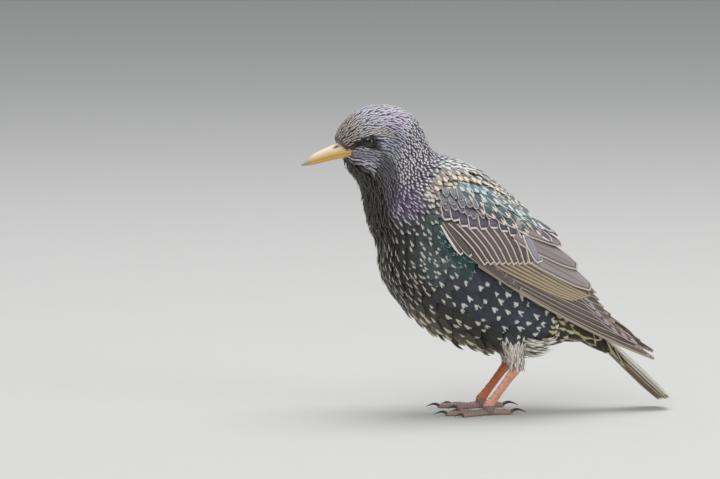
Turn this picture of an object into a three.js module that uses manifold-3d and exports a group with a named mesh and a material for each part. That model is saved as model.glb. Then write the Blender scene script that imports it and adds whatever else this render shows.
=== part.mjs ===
// A common starling, life size, standing still with its head a little turned and its wings folded.
// Millimetres, +Z up. The bird faces -X, its left side faces -Y, and its feet stand on Z = 0.
// Head, neck, torso and tail base are one smooth body parted by thin flat cuts. Wings and tail are
// overlapping vanes laid on curved sheets, and each wing is one closed solid, as is the tail.
import * as THREE from "three";
import { mergeVertices } from "three/addons/utils/BufferGeometryUtils.js";
import Module from "manifold-3d";

const wasm = await Module();
wasm.setup();

// Driving dimensions
const gap = 0.3; // between neighbouring pieces
const centring = { x: -0.96, y: 0.0 }; // puts the bounding box over the origin
const headTurn = 0.21; // radians, towards the bird's left
const headTurnAxisX = -43;
const sectionFullness = 0.92; // under 1 fills the sides of a body section out

// Sections of the body from the bill's base to the end of the tail base:
// [x, z] on the back, [x, z] on the throat or belly, half width.
const bodySections = [
  { name: "bill base", back: [-72.3, 131.3], front: [-66.6, 123.8], half: 4.9 },
  { name: "forehead", back: [-71.5, 135.2], front: [-66.2, 120.0], half: 6.4 },
  { name: "brow", back: [-68.8, 139.4], front: [-64.6, 117.0], half: 7.9 },
  { name: "fore crown", back: [-63.9, 144.1], front: [-62.5, 114.5], half: 9.5 },
  { name: "crown", back: [-57.2, 147.4], front: [-60.4, 111.8], half: 11.0 },
  { name: "eye", back: [-49.6, 148.4], front: [-58.9, 109.2], half: 12.2 },
  { name: "ear", back: [-41.4, 147.2], front: [-58.0, 106.2], half: 13.1 },
  { name: "rear crown", back: [-34.2, 143.0], front: [-57.2, 102.9], half: 13.7 },
  { name: "upper nape", back: [-29.4, 136.5], front: [-56.5, 99.0], half: 14.2 },
  { name: "nape", back: [-26.8, 130.6], front: [-55.3, 93.7], half: 15.1 },
  { name: "nape notch", back: [-24.0, 125.8], front: [-53.6, 88.4], half: 16.4 },
  { name: "neck base", back: [-17.6, 123.4], front: [-51.2, 83.1], half: 18.4 },
  { name: "upper mantle", back: [-9.6, 120.5], front: [-49.7, 76.8], half: 20.6 },
  { name: "breast", back: [-1.2, 116.1], front: [-48.8, 69.1], half: 22.7 },
  { name: "shoulder", back: [6.8, 110.1], front: [-44.9, 60.4], half: 24.0 },
  { name: "deep breast", back: [14.4, 103.8], front: [-38.2, 52.2], half: 24.7 },
  { name: "mid back", back: [21.4, 97.2], front: [-29.0, 44.2], half: 24.4 },
  { name: "fore belly", back: [27.4, 89.8], front: [-17.4, 37.2], half: 22.8 },
  { name: "belly", back: [32.8, 81.6], front: [-4.3, 32.2], half: 19.8 },
  { name: "rear belly", back: [37.6, 73.2], front: [8.7, 29.2], half: 16.6 },
  { name: "vent", back: [42.2, 64.6], front: [22.2, 28.4], half: 13.8 },
  { name: "rump", back: [46.4, 56.8], front: [34.6, 32.6], half: 11.8 },
  { name: "tail root", back: [50.6, 49.4], front: [46.4, 33.6], half: 10.0 },
  { name: "under tail", back: [55.5, 42.5], front: [56.0, 29.6], half: 7.6 },
  { name: "covert ends", back: [61.3, 34.0], front: [62.2, 27.6], half: 3.2 },
];
const headEnd = 9.4; // places along the sections where the body is parted
const neckEnd = 11.8;
const torsoEnd = 20.7;
const tailBaseEnd = 24;

const lores = { section: 1.9, angle: 1.72, depth: 0.3, along: 1.3, round: 0.42 }; // hollow before the eye
const eye = { section: 3.83, angle: 1.46, radius: 3.3, sunk: 2.3, lid: 0.5 };

const bill = {
  tipX: -89.4,
  rootX: -61.5,
  culmen: [120.9, 125.0, 127.4, 129.3, 130.9, 132.1, 133.0], // heights from tip to root
  mouth: [120.5, 121.9, 123.3, 124.5, 125.5, 126.2, 126.6],
  keel: [120.1, 120.4, 121.4, 122.4, 123.3, 124.0, 124.4],
  half: [0.35, 1.7, 2.6, 3.4, 4.2, 4.9, 5.3], // half widths from tip to root
  turnPivotX: -66,
};

const wing = {
  wrist: [-19.8, 89.4], // the origin of the wing's own sheet
  tip: [82.3, 24.2],
  start: -20, // where the next three lists begin, along the wing
  step: 20, // and the way from one entry to the next
  spread: [18.4, 24.6, 26.2, 24.2, 19.0, 13.4, 8.6, 5.0], // how far out the sheet stands from the midline
  crest: [32.0, 31.0, 28.8, 25.6, 22.4, 15.6, 9.4, 5.2], // where it meets the midline of the back
  keel: [-5.5, -5.0, -4.5, -4.0, -3.5, -3.0, -2.5, -2.0], // where it stands out furthest
};
const farTipLift = 3.2; // the right wing tip lies this much higher

const tail = {
  root: [44.6, 50.0],
  tip: [90.8, 4.7],
  roll: 0.205, // radians, the left edge higher
  feathers: 12,
  arch: 0.012,
};

const leg = {
  hip: [12.5, 8.6, 42.0],
  ankle: [14.8, 13.0, 22.8],
  foot: [1.2, 13.4, 4.4],
  farShift: 0.8, // the right leg stands this much further back
  thighTop: 7.0,
  thighEnd: 3.3,
  shank: [1.4, 2.0], // half widths across and along
};
const foot = { pad: 2.5, height: 4.3 };
const toes = [
  { name: "inner", turn: -0.42, length: 14.0, radius: 1.35, claw: 5.0 },
  { name: "middle", turn: 0.04, length: 20.5, radius: 1.5, claw: 6.0 },
  { name: "outer", turn: 0.5, length: 15.5, radius: 1.35, claw: 5.0 },
  { name: "hind", turn: Math.PI, length: 10.5, radius: 1.6, claw: 7.5 },
];

const colours = {
  plumage: [0x2f3238, 0.45, 0.1],
  throat: [0x3a3444, 0.45, 0.1],
  crown: [0x6d6a72, 0.6, 0.0],
  wing: [0x5b4f47, 0.65, 0.0],
  tail: [0x6b5f50, 0.65, 0.0],
  bill: [0xd8a63a, 0.35, 0.0],
  eye: [0x120d0a, 0.08, 0.0],
  thigh: [0x8d8680, 0.8, 0.0],
  leg: [0xc9755a, 0.5, 0.0],
  claw: [0x3a2c28, 0.35, 0.0],
};

// Small helpers for numbers and points
const smooth = (t) => {
  const c = Math.min(1, Math.max(0, t));
  return c * c * (3 - 2 * c);
};
const mix = (a, b, t) => a + (b - a) * t;
const vec = (x, y, z) => new THREE.Vector3(x, y, z);

// A Catmull-Rom curve through evenly spaced values, read at place t.
function through(values, t) {
  const last = values.length - 1;
  const i = Math.min(last - 1, Math.max(0, Math.floor(t)));
  const f = t - i;
  const at = (k) => {
    if (k < 0) return 2 * values[0] - values[1];
    if (k > last) return 2 * values[last] - values[last - 1];
    return values[k];
  };
  const [a, b, c, d] = [at(i - 1), at(i), at(i + 1), at(i + 2)];
  return b + 0.5 * f * (c - a + f * (2 * a - 5 * b + 4 * c - d + f * (3 * (b - c) + d - a)));
}

// Closed geometry from rings of points, with a fan over each end. Its faces are turned outwards.
// With twoFaced, the second half of each ring mirrors the first, and both are split into like triangles.
function loft(rings, twoFaced = false) {
  const n = rings[0].length;
  const points = rings.flat();
  const faces = [];
  for (let j = 0; j + 1 < rings.length; j++) {
    for (let k = 0; k < n; k++) {
      const a = j * n + k;
      const b = j * n + ((k + 1) % n);
      const mirrored = twoFaced && k >= n / 2;
      if (mirrored) faces.push([a, b, a + n], [b, b + n, a + n]);
      else faces.push([a, b, b + n], [a, b + n, a + n]);
    }
  }
  for (const [j, flip] of [[0, false], [rings.length - 1, true]]) {
    const centre = vec(0, 0, 0);
    rings[j].forEach((p) => centre.addScaledVector(p, 1 / n));
    points.push(centre);
    for (let k = 0; k < n; k++) {
      const a = j * n + k;
      const b = j * n + ((k + 1) % n);
      faces.push(flip ? [a, b, points.length - 1] : [b, a, points.length - 1]);
    }
  }
  let volume = 0;
  for (const [a, b, c] of faces) volume += points[a].dot(points[b].clone().cross(points[c]));
  const index = faces.flatMap(([a, b, c]) => (volume < 0 ? [a, c, b] : [a, b, c]));
  const geometry = new THREE.BufferGeometry().setFromPoints(points);
  return geometry.setIndex(index);
}

function solidOf(geometry) {
  const bare = new THREE.BufferGeometry();
  bare.setAttribute("position", geometry.getAttribute("position"));
  bare.setIndex(geometry.index);
  const merged = mergeVertices(bare, 1e-4);
  const mesh = new wasm.Mesh({
    numProp: 3,
    vertProperties: new Float32Array(merged.attributes.position.array),
    triVerts: new Uint32Array(merged.index.array),
  });
  return new wasm.Manifold(mesh);
}

// The largest closed surface of a solid, as a geometry. Slivers thinner than fine are merged away.
function geometryOf(solid, fine = 0.01) {
  const pieces = solid.asOriginal().simplify(fine).decompose().sort((a, b) => b.volume() - a.volume());
  const mesh = pieces[0].getMesh();
  const points = new Float32Array(mesh.numVert * 3);
  for (let i = 0; i < mesh.numVert; i++) {
    points.set(mesh.vertProperties.subarray(i * mesh.numProp, i * mesh.numProp + 3), i * 3);
  }
  const geometry = new THREE.BufferGeometry();
  geometry.setAttribute("position", new THREE.BufferAttribute(points, 3));
  return geometry.setIndex(new THREE.BufferAttribute(mesh.triVerts, 1));
}

const join = (geometries) => wasm.Manifold.union(geometries.map(solidOf));

// Body
// A point of the body's skin: section s, angle from the back (0) round the left side to the belly (pi).
function bodyPoint(s, angle, grow = 0) {
  const read = (pick) => through(bodySections.map(pick), s);
  const back = vec(read((b) => b.back[0]), 0, read((b) => b.back[1]));
  const front = vec(read((b) => b.front[0]), 0, read((b) => b.front[1]));
  const across = front.clone().sub(back);
  const out = across.clone().normalize().multiplyScalar(grow);
  back.sub(out);
  across.addScaledVector(out, 2);
  const side = Math.sin(angle);
  const point = back.addScaledVector(across, (1 - Math.cos(angle)) / 2);
  const near = ((s - lores.section) / lores.along) ** 2 + ((Math.abs(wrapped(angle)) - lores.angle) / lores.round) ** 2;
  const wide = read((b) => b.half) * (1 - lores.depth * Math.exp(-near)) + grow;
  point.y = -Math.sign(side) * Math.abs(side) ** sectionFullness * wide;
  return turned(point, headTurn * smooth((11 - s) / 5), headTurnAxisX);
}

// An angle brought between -pi and pi.
const wrapped = (angle) => Math.atan2(Math.sin(angle), Math.cos(angle));

function turned(point, angle, pivotX) {
  const x = point.x - pivotX;
  const y = point.y;
  point.x = pivotX + x * Math.cos(angle) - y * Math.sin(angle);
  point.y = x * Math.sin(angle) + y * Math.cos(angle);
  return point;
}

function bodyRing(s, around, grow = 0) {
  return Array.from({ length: around }, (_, k) => bodyPoint(s, (2 * Math.PI * k) / around, grow));
}

// The direction along the body in which section s faces.
function sectionNormal(s) {
  const back = bodyPoint(s, 0);
  const down = bodyPoint(s, Math.PI).sub(back);
  const across = bodyPoint(s, Math.PI / 2).sub(bodyPoint(s, -Math.PI / 2));
  const normal = across.cross(down).normalize();
  const along = bodyPoint(s + 0.3, 0).sub(back);
  return along.dot(normal) < 0 ? normal.negate() : normal;
}

// A stretch of the body between two sections. Its first ring is pushed along by start and its last by end.
function bodyStretch(from, to, { rings, around = 28, grow = 0, start = 0, end = 0 }) {
  const made = [];
  for (let j = 0; j <= rings; j++) {
    const s = mix(from, to, j / rings);
    const shift = j === 0 ? start : j === rings ? end : 0;
    const ring = bodyRing(s, around, grow);
    if (shift) ring.forEach((p) => p.addScaledVector(sectionNormal(s), shift));
    made.push(ring);
  }
  return loft(made);
}

const grownBody = solidOf(bodyStretch(0, tailBaseEnd, { rings: 48, grow: gap, start: -gap, end: gap }));

// Head, eyes and bill
function surfaceNormal(s, angle) {
  const along = bodyPoint(s + 0.05, angle).sub(bodyPoint(s - 0.05, angle));
  const round = bodyPoint(s, angle + 0.05).sub(bodyPoint(s, angle - 0.05));
  const normal = along.cross(round).normalize();
  return normal.y * Math.sin(angle) > 0 ? normal.negate() : normal;
}

function eyePlace(side) {
  const normal = surfaceNormal(eye.section, side * eye.angle);
  const centre = bodyPoint(eye.section, side * eye.angle).addScaledVector(normal, -eye.sunk);
  return { centre, normal };
}

function eyeBall(side, radius, rings = 9) {
  const { centre, normal } = eyePlace(side);
  const ball = new THREE.SphereGeometry(radius, 14, rings);
  ball.rotateX(Math.PI / 2);
  ball.applyQuaternion(new THREE.Quaternion().setFromUnitVectors(vec(0, 0, 1), normal));
  return ball.translate(...centre);
}

function eyeLid(side) {
  const { centre, normal } = eyePlace(side);
  const ring = new THREE.TorusGeometry(eye.radius * 0.84, eye.lid, 5, 16);
  ring.scale(1.08, 0.96, 1);
  ring.applyQuaternion(new THREE.Quaternion().setFromUnitVectors(vec(0, 0, 1), normal));
  return ring.translate(...centre.addScaledVector(normal, eye.sunk - 0.1));
}

function makeHead() {
  const skull = bodyStretch(0, headEnd, { rings: 20 });
  const lids = [1, -1].map(eyeLid);
  const sockets = join([1, -1].map((side) => eyeBall(side, eye.radius + gap)));
  return geometryOf(join([skull, ...lids]).subtract(sockets));
}

// One half of the bill: a fan of sections from tip to root, between its mouth line and its outer ridge.
function mandible(ridge, mouthGap) {
  const last = bill.half.length - 1;
  const rings = [];
  for (let j = 0; j <= 2 * last; j++) {
    const t = j / 2;
    const x = mix(bill.tipX, bill.rootX, t / last);
    const half = through(bill.half, t);
    const mouth = through(bill.mouth, t) + mouthGap;
    const top = through(ridge, t);
    const profile = [[1, 0], [0.94, 0.4], [0.62, 0.8], [0, 1], [-0.62, 0.8], [-0.94, 0.4], [-1, 0], [0, 0]];
    rings.push(profile.map(([y, z]) => vec(x, y * half, mix(mouth, top, z))));
  }
  return loft(rings);
}

function nostril(side) {
  const hole = new THREE.SphereGeometry(1, 10, 8);
  return hole.scale(1.5, 0.6, 0.55).rotateY(-0.45).translate(-72.7, side * 2.75, 129.1);
}

// Turns a geometry that is built looking straight ahead with the head.
function withHead(geometry) {
  const places = geometry.getAttribute("position");
  for (let i = 0; i < places.count; i++) {
    const point = vec(0, 0, 0).fromBufferAttribute(places, i);
    places.setXYZ(i, ...turned(point, headTurn, headTurnAxisX));
  }
  return geometry;
}

function makeUpperBill() {
  const holes = join([1, -1].map((side) => withHead(nostril(side))));
  const whole = solidOf(withHead(mandible(bill.culmen, gap / 2)));
  return geometryOf(whole.subtract(holes).subtract(grownBody));
}

function makeLowerBill() {
  return geometryOf(solidOf(withHead(mandible(bill.keel, -gap / 2))).subtract(grownBody));
}

// Feathers
// A vane on a sheet: its shaft runs from one place to another, with a web to each side.
// Lists of numbers are read from root to tip. A positive tilt lifts the low web, as roof tiles lie.
function vane(sheet, spec) {
  const { from, to, low, high, lift, liftEnd = lift, thick, tilt = 0, bend = 0, ridge = 0.15, across = 3, sink = 0 } = spec;
  const shape = spec.shape ?? [0.8, 1, 0.95, 0.6, 0.12];
  const stations = spec.stations ?? [0, 0.4, 0.8, 0.95, 1];
  const length = Math.hypot(to[0] - from[0], to[1] - from[1]);
  const aside = [-(to[1] - from[1]) / length, (to[0] - from[0]) / length];
  const rings = stations.map((t, j) => {
    const arc = bend * 4 * t * (1 - t);
    const outer = [];
    const inner = [];
    for (let k = 0; k < across; k++) {
      const c = mix(-1, 1, k / (across - 1));
      const web = c * (c < 0 ? low : high) * shape[j];
      const u = mix(from[0], to[0], t) + aside[0] * (arc + web);
      const q = mix(from[1], to[1], t) + aside[1] * (arc + web);
      const height = mix(lift, liftEnd, t) - tilt * web + ridge * (1 - c * c) - sink * (1 - t) ** 2;
      outer.push(sheet(u, q, height));
      inner.push(sheet(u, q, height - mix(thick, spec.thin ?? thick, t)));
    }
    return [...outer, ...inner.reverse()];
  });
  return loft(rings, true);
}

// A sheet of points from a surface: moves out from it along its normal by height.
function sheetFrom(surface, outward) {
  return (u, q, height) => {
    const step = 0.2;
    const along = surface(u + step, q).sub(surface(u - step, q));
    const across = surface(u, q + step).sub(surface(u, q - step));
    const normal = along.cross(across).normalize().multiplyScalar(outward);
    return surface(u, q).addScaledVector(normal, height);
  };
}

// The folded wing's sheet: u runs from the wrist to the tip, q up and round towards the midline of the back.
function wingSheet(side) {
  const [x0, z0] = wing.wrist;
  const [x1, z1] = wing.tip;
  const length = Math.hypot(x1 - x0, z1 - z0);
  const along = [(x1 - x0) / length, (z1 - z0) / length];
  const surface = (u, q) => {
    const t = (u - wing.start) / wing.step;
    const keel = through(wing.keel, t);
    const reach = through(wing.crest, t) - keel;
    const angle = q / reach;
    const up = keel + reach * Math.sin(angle) + (side > 0 ? farTipLift * smooth(u / length - 0.2) : 0);
    const out = through(wing.spread, t) * Math.cos(angle);
    return vec(x0 + u * along[0] - up * along[1], side * out, z0 + u * along[1] + up * along[0]);
  };
  return sheetFrom(surface, -side);
}

// A place on the wing's sheet from its height v over the wrist line as seen from the side.
function seen(u, v) {
  const t = (u - wing.start) / wing.step;
  const keel = through(wing.keel, t);
  const reach = through(wing.crest, t) - keel;
  return [u, reach * Math.asin(Math.min(0.97, (v - keel) / reach))];
}

const rounded = [0.6, 1, 1, 0.8, 0.3];
const short = { stations: [0, 0.4, 0.8, 1], shape: [0.7, 1, 0.9, 0.3] };

function wingVanes() {
  const vanes = [];
  const row = (count, make) => {
    for (let i = 0; i < count; i++) vanes.push(make(i, i / (count - 1)));
  };
  row(9, (i) => ({ // primaries, the longest first, along the lower edge
    from: seen(20, -5.2 + 0.9 * i),
    to: seen(121.6 - 8 * i + 0.34 * i * i, 0.6 + 0.8 * i + 0.085 * i * i),
    low: 2.6, high: 5.4, lift: 0.5, thick: 1.3, thin: 0.7, tilt: 0.2, bend: -1.2 + 0.45 * i,
  }));
  row(6, (i) => ({ // secondaries
    from: seen(20, -1.5 + 1.9 * i),
    to: seen(70 + 1.3 * i, 3.8 + 1.1 * i),
    low: 2.2, high: 5.0, lift: 1.1, thick: 1.5, thin: 1.2, tilt: 0.2, shape: rounded,
  }));
  row(3, (i) => ({ // tertials, the longest first
    from: seen(30 - 2 * i, 9.5 + 4.2 * i),
    to: seen(76 - 12 * i, 12.2 + 4.2 * i),
    low: 4.2, high: 3.8, lift: 1.9 + 0.3 * i, thick: 2.0, thin: 1.3, tilt: 0.12, shape: rounded,
  }));
  row(4, (i) => ({ // primary coverts, along the lower edge
    from: seen(7, -3.6 + 0.9 * i),
    to: seen(44 - 5 * i, -5.6 + 0.9 * i),
    low: 1.5, high: 3.4, lift: 1.2, thick: 1.6, tilt: 0.22, ...short,
  }));
  row(2, (i) => ({ // alula
    from: seen(-0.5, -0.6 + 1.8 * i),
    to: seen(18 - 5 * i, -5.4 + 1.4 * i),
    low: 1.7, high: 2.4, lift: 1.7, thick: 2.2, tilt: 0.2, ...short,
  }));
  row(9, (i, t) => ({ // greater coverts
    from: seen(mix(2, 32, t), mix(1.5, 15.5, t)),
    to: seen(mix(24.7, 48.4, t), mix(-3.4, 9.6, t)),
    low: 2.0, high: 3.4, lift: 2.1, thick: 2.2, tilt: 0.24, bend: 0.8, ...short,
  }));
  row(7, (i, t) => ({ // median coverts
    from: seen(mix(-2.5, 25, t), mix(6, 18.5, t)),
    to: seen(mix(6.5, 36, t), mix(0.6, 14.8, t)),
    low: 2.6, high: 2.9, lift: 2.6, thick: 2.6, tilt: 0.2, sink: 2.2, ...short,
  }));
  row(6, (i, t) => ({ // lower scapulars
    from: seen(mix(-9, 33, t), mix(14, 23, t)),
    to: seen(mix(5, 51, t), mix(9.4, 19, t)),
    low: 3.6, high: 3.8, lift: 2.9, thick: 3.0, tilt: 0.16, bend: 0.8, sink: 4.5, ...short,
    shape: [0.45, 0.95, 0.95, 0.3],
  }));
  return vanes;
}

function makeWing(side) {
  const sheet = wingSheet(side);
  const arm = vane(sheet, { // the arm under the coverts, filled to the body
    from: [-4, 12], to: [46, 20], low: 8, high: 11, lift: 1.2, thick: 7, ridge: 0.8, sink: 2.5, across: 5,
    stations: [0, 0.15, 0.5, 0.85, 1], shape: [0.35, 0.8, 1, 0.8, 0.3],
  });
  const whole = join([arm, ...wingVanes().map((spec) => vane(sheet, spec))]);
  return geometryOf(whole.subtract(grownBody), 0.04);
}

// The tail's sheet: u runs from its root to its tip, q across from the left edge to the right.
function tailSheet() {
  const along = vec(tail.tip[0] - tail.root[0], 0, tail.tip[1] - tail.root[1]).normalize();
  const across = vec(0, 1, 0).applyAxisAngle(along, -tail.roll);
  const up = across.clone().cross(along).normalize();
  if (up.z < 0) up.negate();
  return (u, q, height) => vec(tail.root[0], 0, tail.root[1])
    .addScaledVector(along, u)
    .addScaledVector(across, q)
    .addScaledVector(up, height - tail.arch * q * q);
}

function makeTail() {
  const sheet = tailSheet();
  const length = Math.hypot(tail.tip[0] - tail.root[0], tail.tip[1] - tail.root[1]);
  const pieces = [bodyStretch(torsoEnd, tailBaseEnd, { rings: 7, around: 20, start: gap })];
  for (let i = 0; i < tail.feathers; i++) {
    const place = i - (tail.feathers - 1) / 2;
    const rank = Math.abs(place);
    const left = place < 0;
    const inner = 5.2;
    const outer = 2.6;
    pieces.push(vane(sheet, {
      from: [9, 0.7 * place],
      to: [length - 0.6 - 0.1 * rank, 0.95 * place],
      low: left ? outer : inner,
      high: left ? inner : outer,
      lift: 0.4 - 0.42 * rank, liftEnd: 0.2 - 0.24 * rank, thick: 1.0, thin: 0.7,
      shape: [0.5, 0.9, 1, 0.8, 0.25],
    }));
  }
  for (let i = -1; i <= 1; i++) { // longest upper-tail coverts
    pieces.push(vane(sheet, {
      from: [-2, 1.2 * i],
      to: [30 - 2 * Math.abs(i), 3.4 * i],
      low: 3.0, high: 3.0, lift: 3.4 - 0.5 * Math.abs(i), liftEnd: 1.2 - 0.3 * Math.abs(i), thick: 1.6, ...short,
    }));
  }
  for (let i = -2; i <= 2; i++) { // longest under-tail coverts
    pieces.push(vane(sheet, {
      from: [6, 2.2 * i],
      to: [36 - 1.8 * Math.abs(i), 2.7 * i],
      low: 2.8, high: 2.8, lift: -4.4 + 0.4 * Math.abs(i), liftEnd: -3.2 + 0.3 * Math.abs(i), thick: 1.6, ...short,
    }));
  }
  return geometryOf(join(pieces), 0.04);
}

// Legs
// Rings of a tapering limb along a path. Each stop is [x, y, z, half width, half depth], and its rings lie
// flat, or square to the path where upright is false.
function limb(stops, around = 10) {
  return loft(stops.map(([x, y, z, wide, deep]) => Array.from({ length: around }, (_, k) => {
    const a = (2 * Math.PI * k) / around;
    return vec(x + deep * Math.cos(a), y + wide * Math.sin(a), z);
  })));
}

function makeThigh(side) {
  const [hx, hy, hz] = leg.hip;
  const [ax, ay, az] = leg.ankle;
  const back = side > 0 ? leg.farShift : 0;
  const stops = [];
  for (let j = 0; j <= 7; j++) {
    const t = j / 7;
    const r = mix(leg.thighTop, leg.thighEnd, smooth(t) * 0.75 + t * 0.25);
    stops.push([mix(hx, ax, t) + back, side * mix(hy, ay, t), mix(hz, az, t), r * 0.85, r]);
  }
  return geometryOf(solidOf(limb(stops, 14)).subtract(grownBody));
}

function makeTarsus(side) {
  const [ax, ay, az] = leg.ankle;
  const [fx, fy, fz] = leg.foot;
  const back = side > 0 ? leg.farShift : 0;
  const slant = Math.hypot(ax - fx, az - fz) / (az - fz); // a flat ring across a slanted shank is longer
  const stops = [[0, 1.35], [0.12, 1.2], [0.3, 1.02], [0.6, 0.96], [0.85, 1.05], [1, 1.3]].map(([t, swell]) => [
    mix(ax, fx, t) + back, side * mix(ay, fy, t), mix(az - gap, fz, t),
    leg.shank[0] * swell, leg.shank[1] * swell * slant,
  ]);
  return limb(stops);
}

// Where a foot stands.
function footPlace(side) {
  const [x, y] = leg.foot;
  return [x + (side > 0 ? leg.farShift : 0), side * y];
}

function footPad(side, grow = 0) {
  const [x, y] = footPlace(side);
  const heights = [[-grow, 0.9], [0.8, 1], [2.2, 1], [foot.height + grow, 0.88]];
  return limb(heights.map(([z, swell]) => [
    x, y, z, foot.pad * swell + grow, foot.pad * swell * 1.08 + grow,
  ]), 14);
}

// Points along a toe or claw, flat where it meets the ground.
function digit(side, turn, stops, around) {
  const [x, y] = footPlace(side);
  const ahead = vec(-Math.cos(turn), side * Math.sin(turn), 0);
  const aside = vec(-ahead.y, ahead.x, 0);
  return loft(stops.map(({ out, height, radius }) => Array.from({ length: around }, (_, k) => {
    const a = (2 * Math.PI * (k + 0.5)) / around;
    const point = vec(x, y, height + radius * Math.sin(a));
    point.addScaledVector(ahead, out).addScaledVector(aside, radius * Math.cos(a));
    point.z = Math.max(0, point.z);
    return point;
  })));
}

function toeSolid(side, toe, grow = 0) {
  const pads = toe.name === "middle" ? 3 : 2;
  const steps = 4 * pads;
  const stops = [];
  for (let j = 0; j <= steps; j++) {
    const t = j / steps;
    const radius = toe.radius * mix(1.08, 0.82, t) * (1 + 0.09 * Math.cos(2 * Math.PI * (pads * t - 0.5)));
    stops.push({ out: t * toe.length, height: radius * 0.8, radius: radius + grow });
  }
  return solidOf(digit(side, toe.turn, stops, 10));
}

function makeToe(side, toe) {
  const beside = [solidOf(footPad(side, gap))];
  if (toe.name === "inner" || toe.name === "outer") beside.push(toeSolid(side, toes[1], gap));
  return geometryOf(toeSolid(side, toe).subtract(wasm.Manifold.union(beside)));
}

function makeClaw(side, toe) {
  const root = toe.radius * 0.62;
  const stops = [];
  for (let j = 0; j <= 6; j++) {
    const t = j / 6;
    const radius = mix(root, 0.14, t ** 0.9);
    const arch = root * 0.9 + toe.claw * 0.5 * Math.sin(Math.PI * t * 0.62) * (1 - t);
    stops.push({ out: toe.length + gap + t * toe.claw, height: Math.max(arch, radius * 0.7), radius });
  }
  return digit(side, toe.turn, stops, 8);
}

// The bird
const bird = new THREE.Group();

function add(name, geometry, finish) {
  const [color, roughness, metalness] = colours[finish];
  const mesh = new THREE.Mesh(geometry, new THREE.MeshStandardMaterial({ color, roughness, metalness }));
  mesh.name = name;
  bird.add(mesh);
}

add("head", makeHead(), "crown");
add("bill_upper", makeUpperBill(), "bill");
add("bill_lower", makeLowerBill(), "bill");
add("neck", bodyStretch(headEnd, neckEnd, { rings: 5, start: gap }), "throat");
add("torso", bodyStretch(neckEnd, torsoEnd, { rings: 18, start: gap }), "plumage");
add("tail", makeTail(), "tail");
for (const [word, side] of [["left", -1], ["right", 1]]) {
  add(`eye_${word}`, eyeBall(-side, eye.radius), "eye");
  add(`wing_${word}`, makeWing(side), "wing");
  add(`thigh_${word}`, makeThigh(side), "thigh");
  add(`tarsus_${word}`, makeTarsus(side), "leg");
  add(`foot_${word}`, footPad(side), "leg");
  for (const toe of toes) {
    add(`toe_${word}_${toe.name}`, makeToe(side, toe), "leg");
    add(`claw_${word}_${toe.name}`, makeClaw(side, toe), "claw");
  }
}
bird.position.set(centring.x, centring.y, 0);

export default bird;
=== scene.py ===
import math
import bpy
import numpy as np
from mathutils import Matrix, Vector, kdtree


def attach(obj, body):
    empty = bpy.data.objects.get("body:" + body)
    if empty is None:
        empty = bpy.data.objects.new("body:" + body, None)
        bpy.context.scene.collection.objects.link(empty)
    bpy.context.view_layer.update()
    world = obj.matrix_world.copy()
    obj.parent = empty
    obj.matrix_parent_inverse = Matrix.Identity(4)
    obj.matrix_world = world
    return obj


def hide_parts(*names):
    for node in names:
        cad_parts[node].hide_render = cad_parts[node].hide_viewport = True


# A common starling, life size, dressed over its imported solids: one skin, a coat of separate feathers,
# folded wings, tail, bill, eyes and legs. Shapes are worked out in millimetres and made in metres.
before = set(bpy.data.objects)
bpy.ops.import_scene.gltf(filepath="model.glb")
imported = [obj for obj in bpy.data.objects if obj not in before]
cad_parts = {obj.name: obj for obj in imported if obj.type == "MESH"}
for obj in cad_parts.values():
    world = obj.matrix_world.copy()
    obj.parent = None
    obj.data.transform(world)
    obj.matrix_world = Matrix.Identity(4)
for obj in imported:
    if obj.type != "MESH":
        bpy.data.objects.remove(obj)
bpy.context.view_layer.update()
print("loaded", len(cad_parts), "nodes")

# Camera and light, in metres and degrees
photoView = {"azimuth": -8, "elevation": 5.5, "distance": 2.2, "width": 0.3454, "sensor": 36,
             "aside": -0.05946, "above": 0.01294, "height": 0.070}
studio = {
    "floor": (0.56, 0.555, 0.54, 1), "sky": (0.93, 0.96, 1.0, 1), "skyPower": 0.7, "aim": (0, 0, 0.08),
    # each lamp's place, width and power
    "key_light": ((-0.9, -1.5, 1.7), 1.3, 13),
    "top_light": ((0.2, 0.3, 2.1), 1.6, 31),
    "fill_light": ((1.5, -1.4, 0.7), 1.2, 9),
}


def setCamera():  # it looks along azimuth and elevation at a place beside and above the part's middle
    turn, rise = math.radians(photoView["azimuth"]), math.radians(photoView["elevation"])
    right = Vector((math.cos(turn), math.sin(turn), 0))
    ahead = Vector((-math.sin(turn) * math.cos(rise), math.cos(turn) * math.cos(rise), -math.sin(rise)))
    up = right.cross(ahead)
    target = Vector((0, 0, photoView["height"])) + right * photoView["aside"] + up * photoView["above"]
    lens = bpy.data.cameras.new("photo_camera")
    lens.sensor_width = photoView["sensor"]
    lens.lens = photoView["sensor"] * photoView["distance"] / photoView["width"]
    camera = bpy.data.objects.new("photo_camera", lens)
    turned = Matrix((right, up, -ahead)).transposed().to_4x4()
    camera.matrix_world = Matrix.Translation(target - ahead * photoView["distance"]) @ turned
    bpy.context.scene.collection.objects.link(camera)
    bpy.context.scene.camera = camera
    bpy.context.scene.view_settings.view_transform = "Standard"


def addLamp(name):
    place, size, power = studio[name]
    light = bpy.data.lights.new(name, "AREA")
    light.shape, light.size, light.energy = "DISK", size, power
    lamp = bpy.data.objects.new(name, light)
    lamp.rotation_euler = (Vector(studio["aim"]) - Vector(place)).to_track_quat("-Z", "Y").to_euler()
    lamp.location = place
    bpy.context.scene.collection.objects.link(lamp)


def setWorld():
    world = bpy.data.worlds.new("studio")
    bpy.context.scene.world = world
    world.use_nodes = True
    sky = world.node_tree.nodes["Background"].inputs
    sky["Color"].default_value = studio["sky"]
    sky["Strength"].default_value = studio["skyPower"]


setCamera()
for lampName in ("key_light", "top_light", "fill_light"):
    addLamp(lampName)
setWorld()


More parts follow.
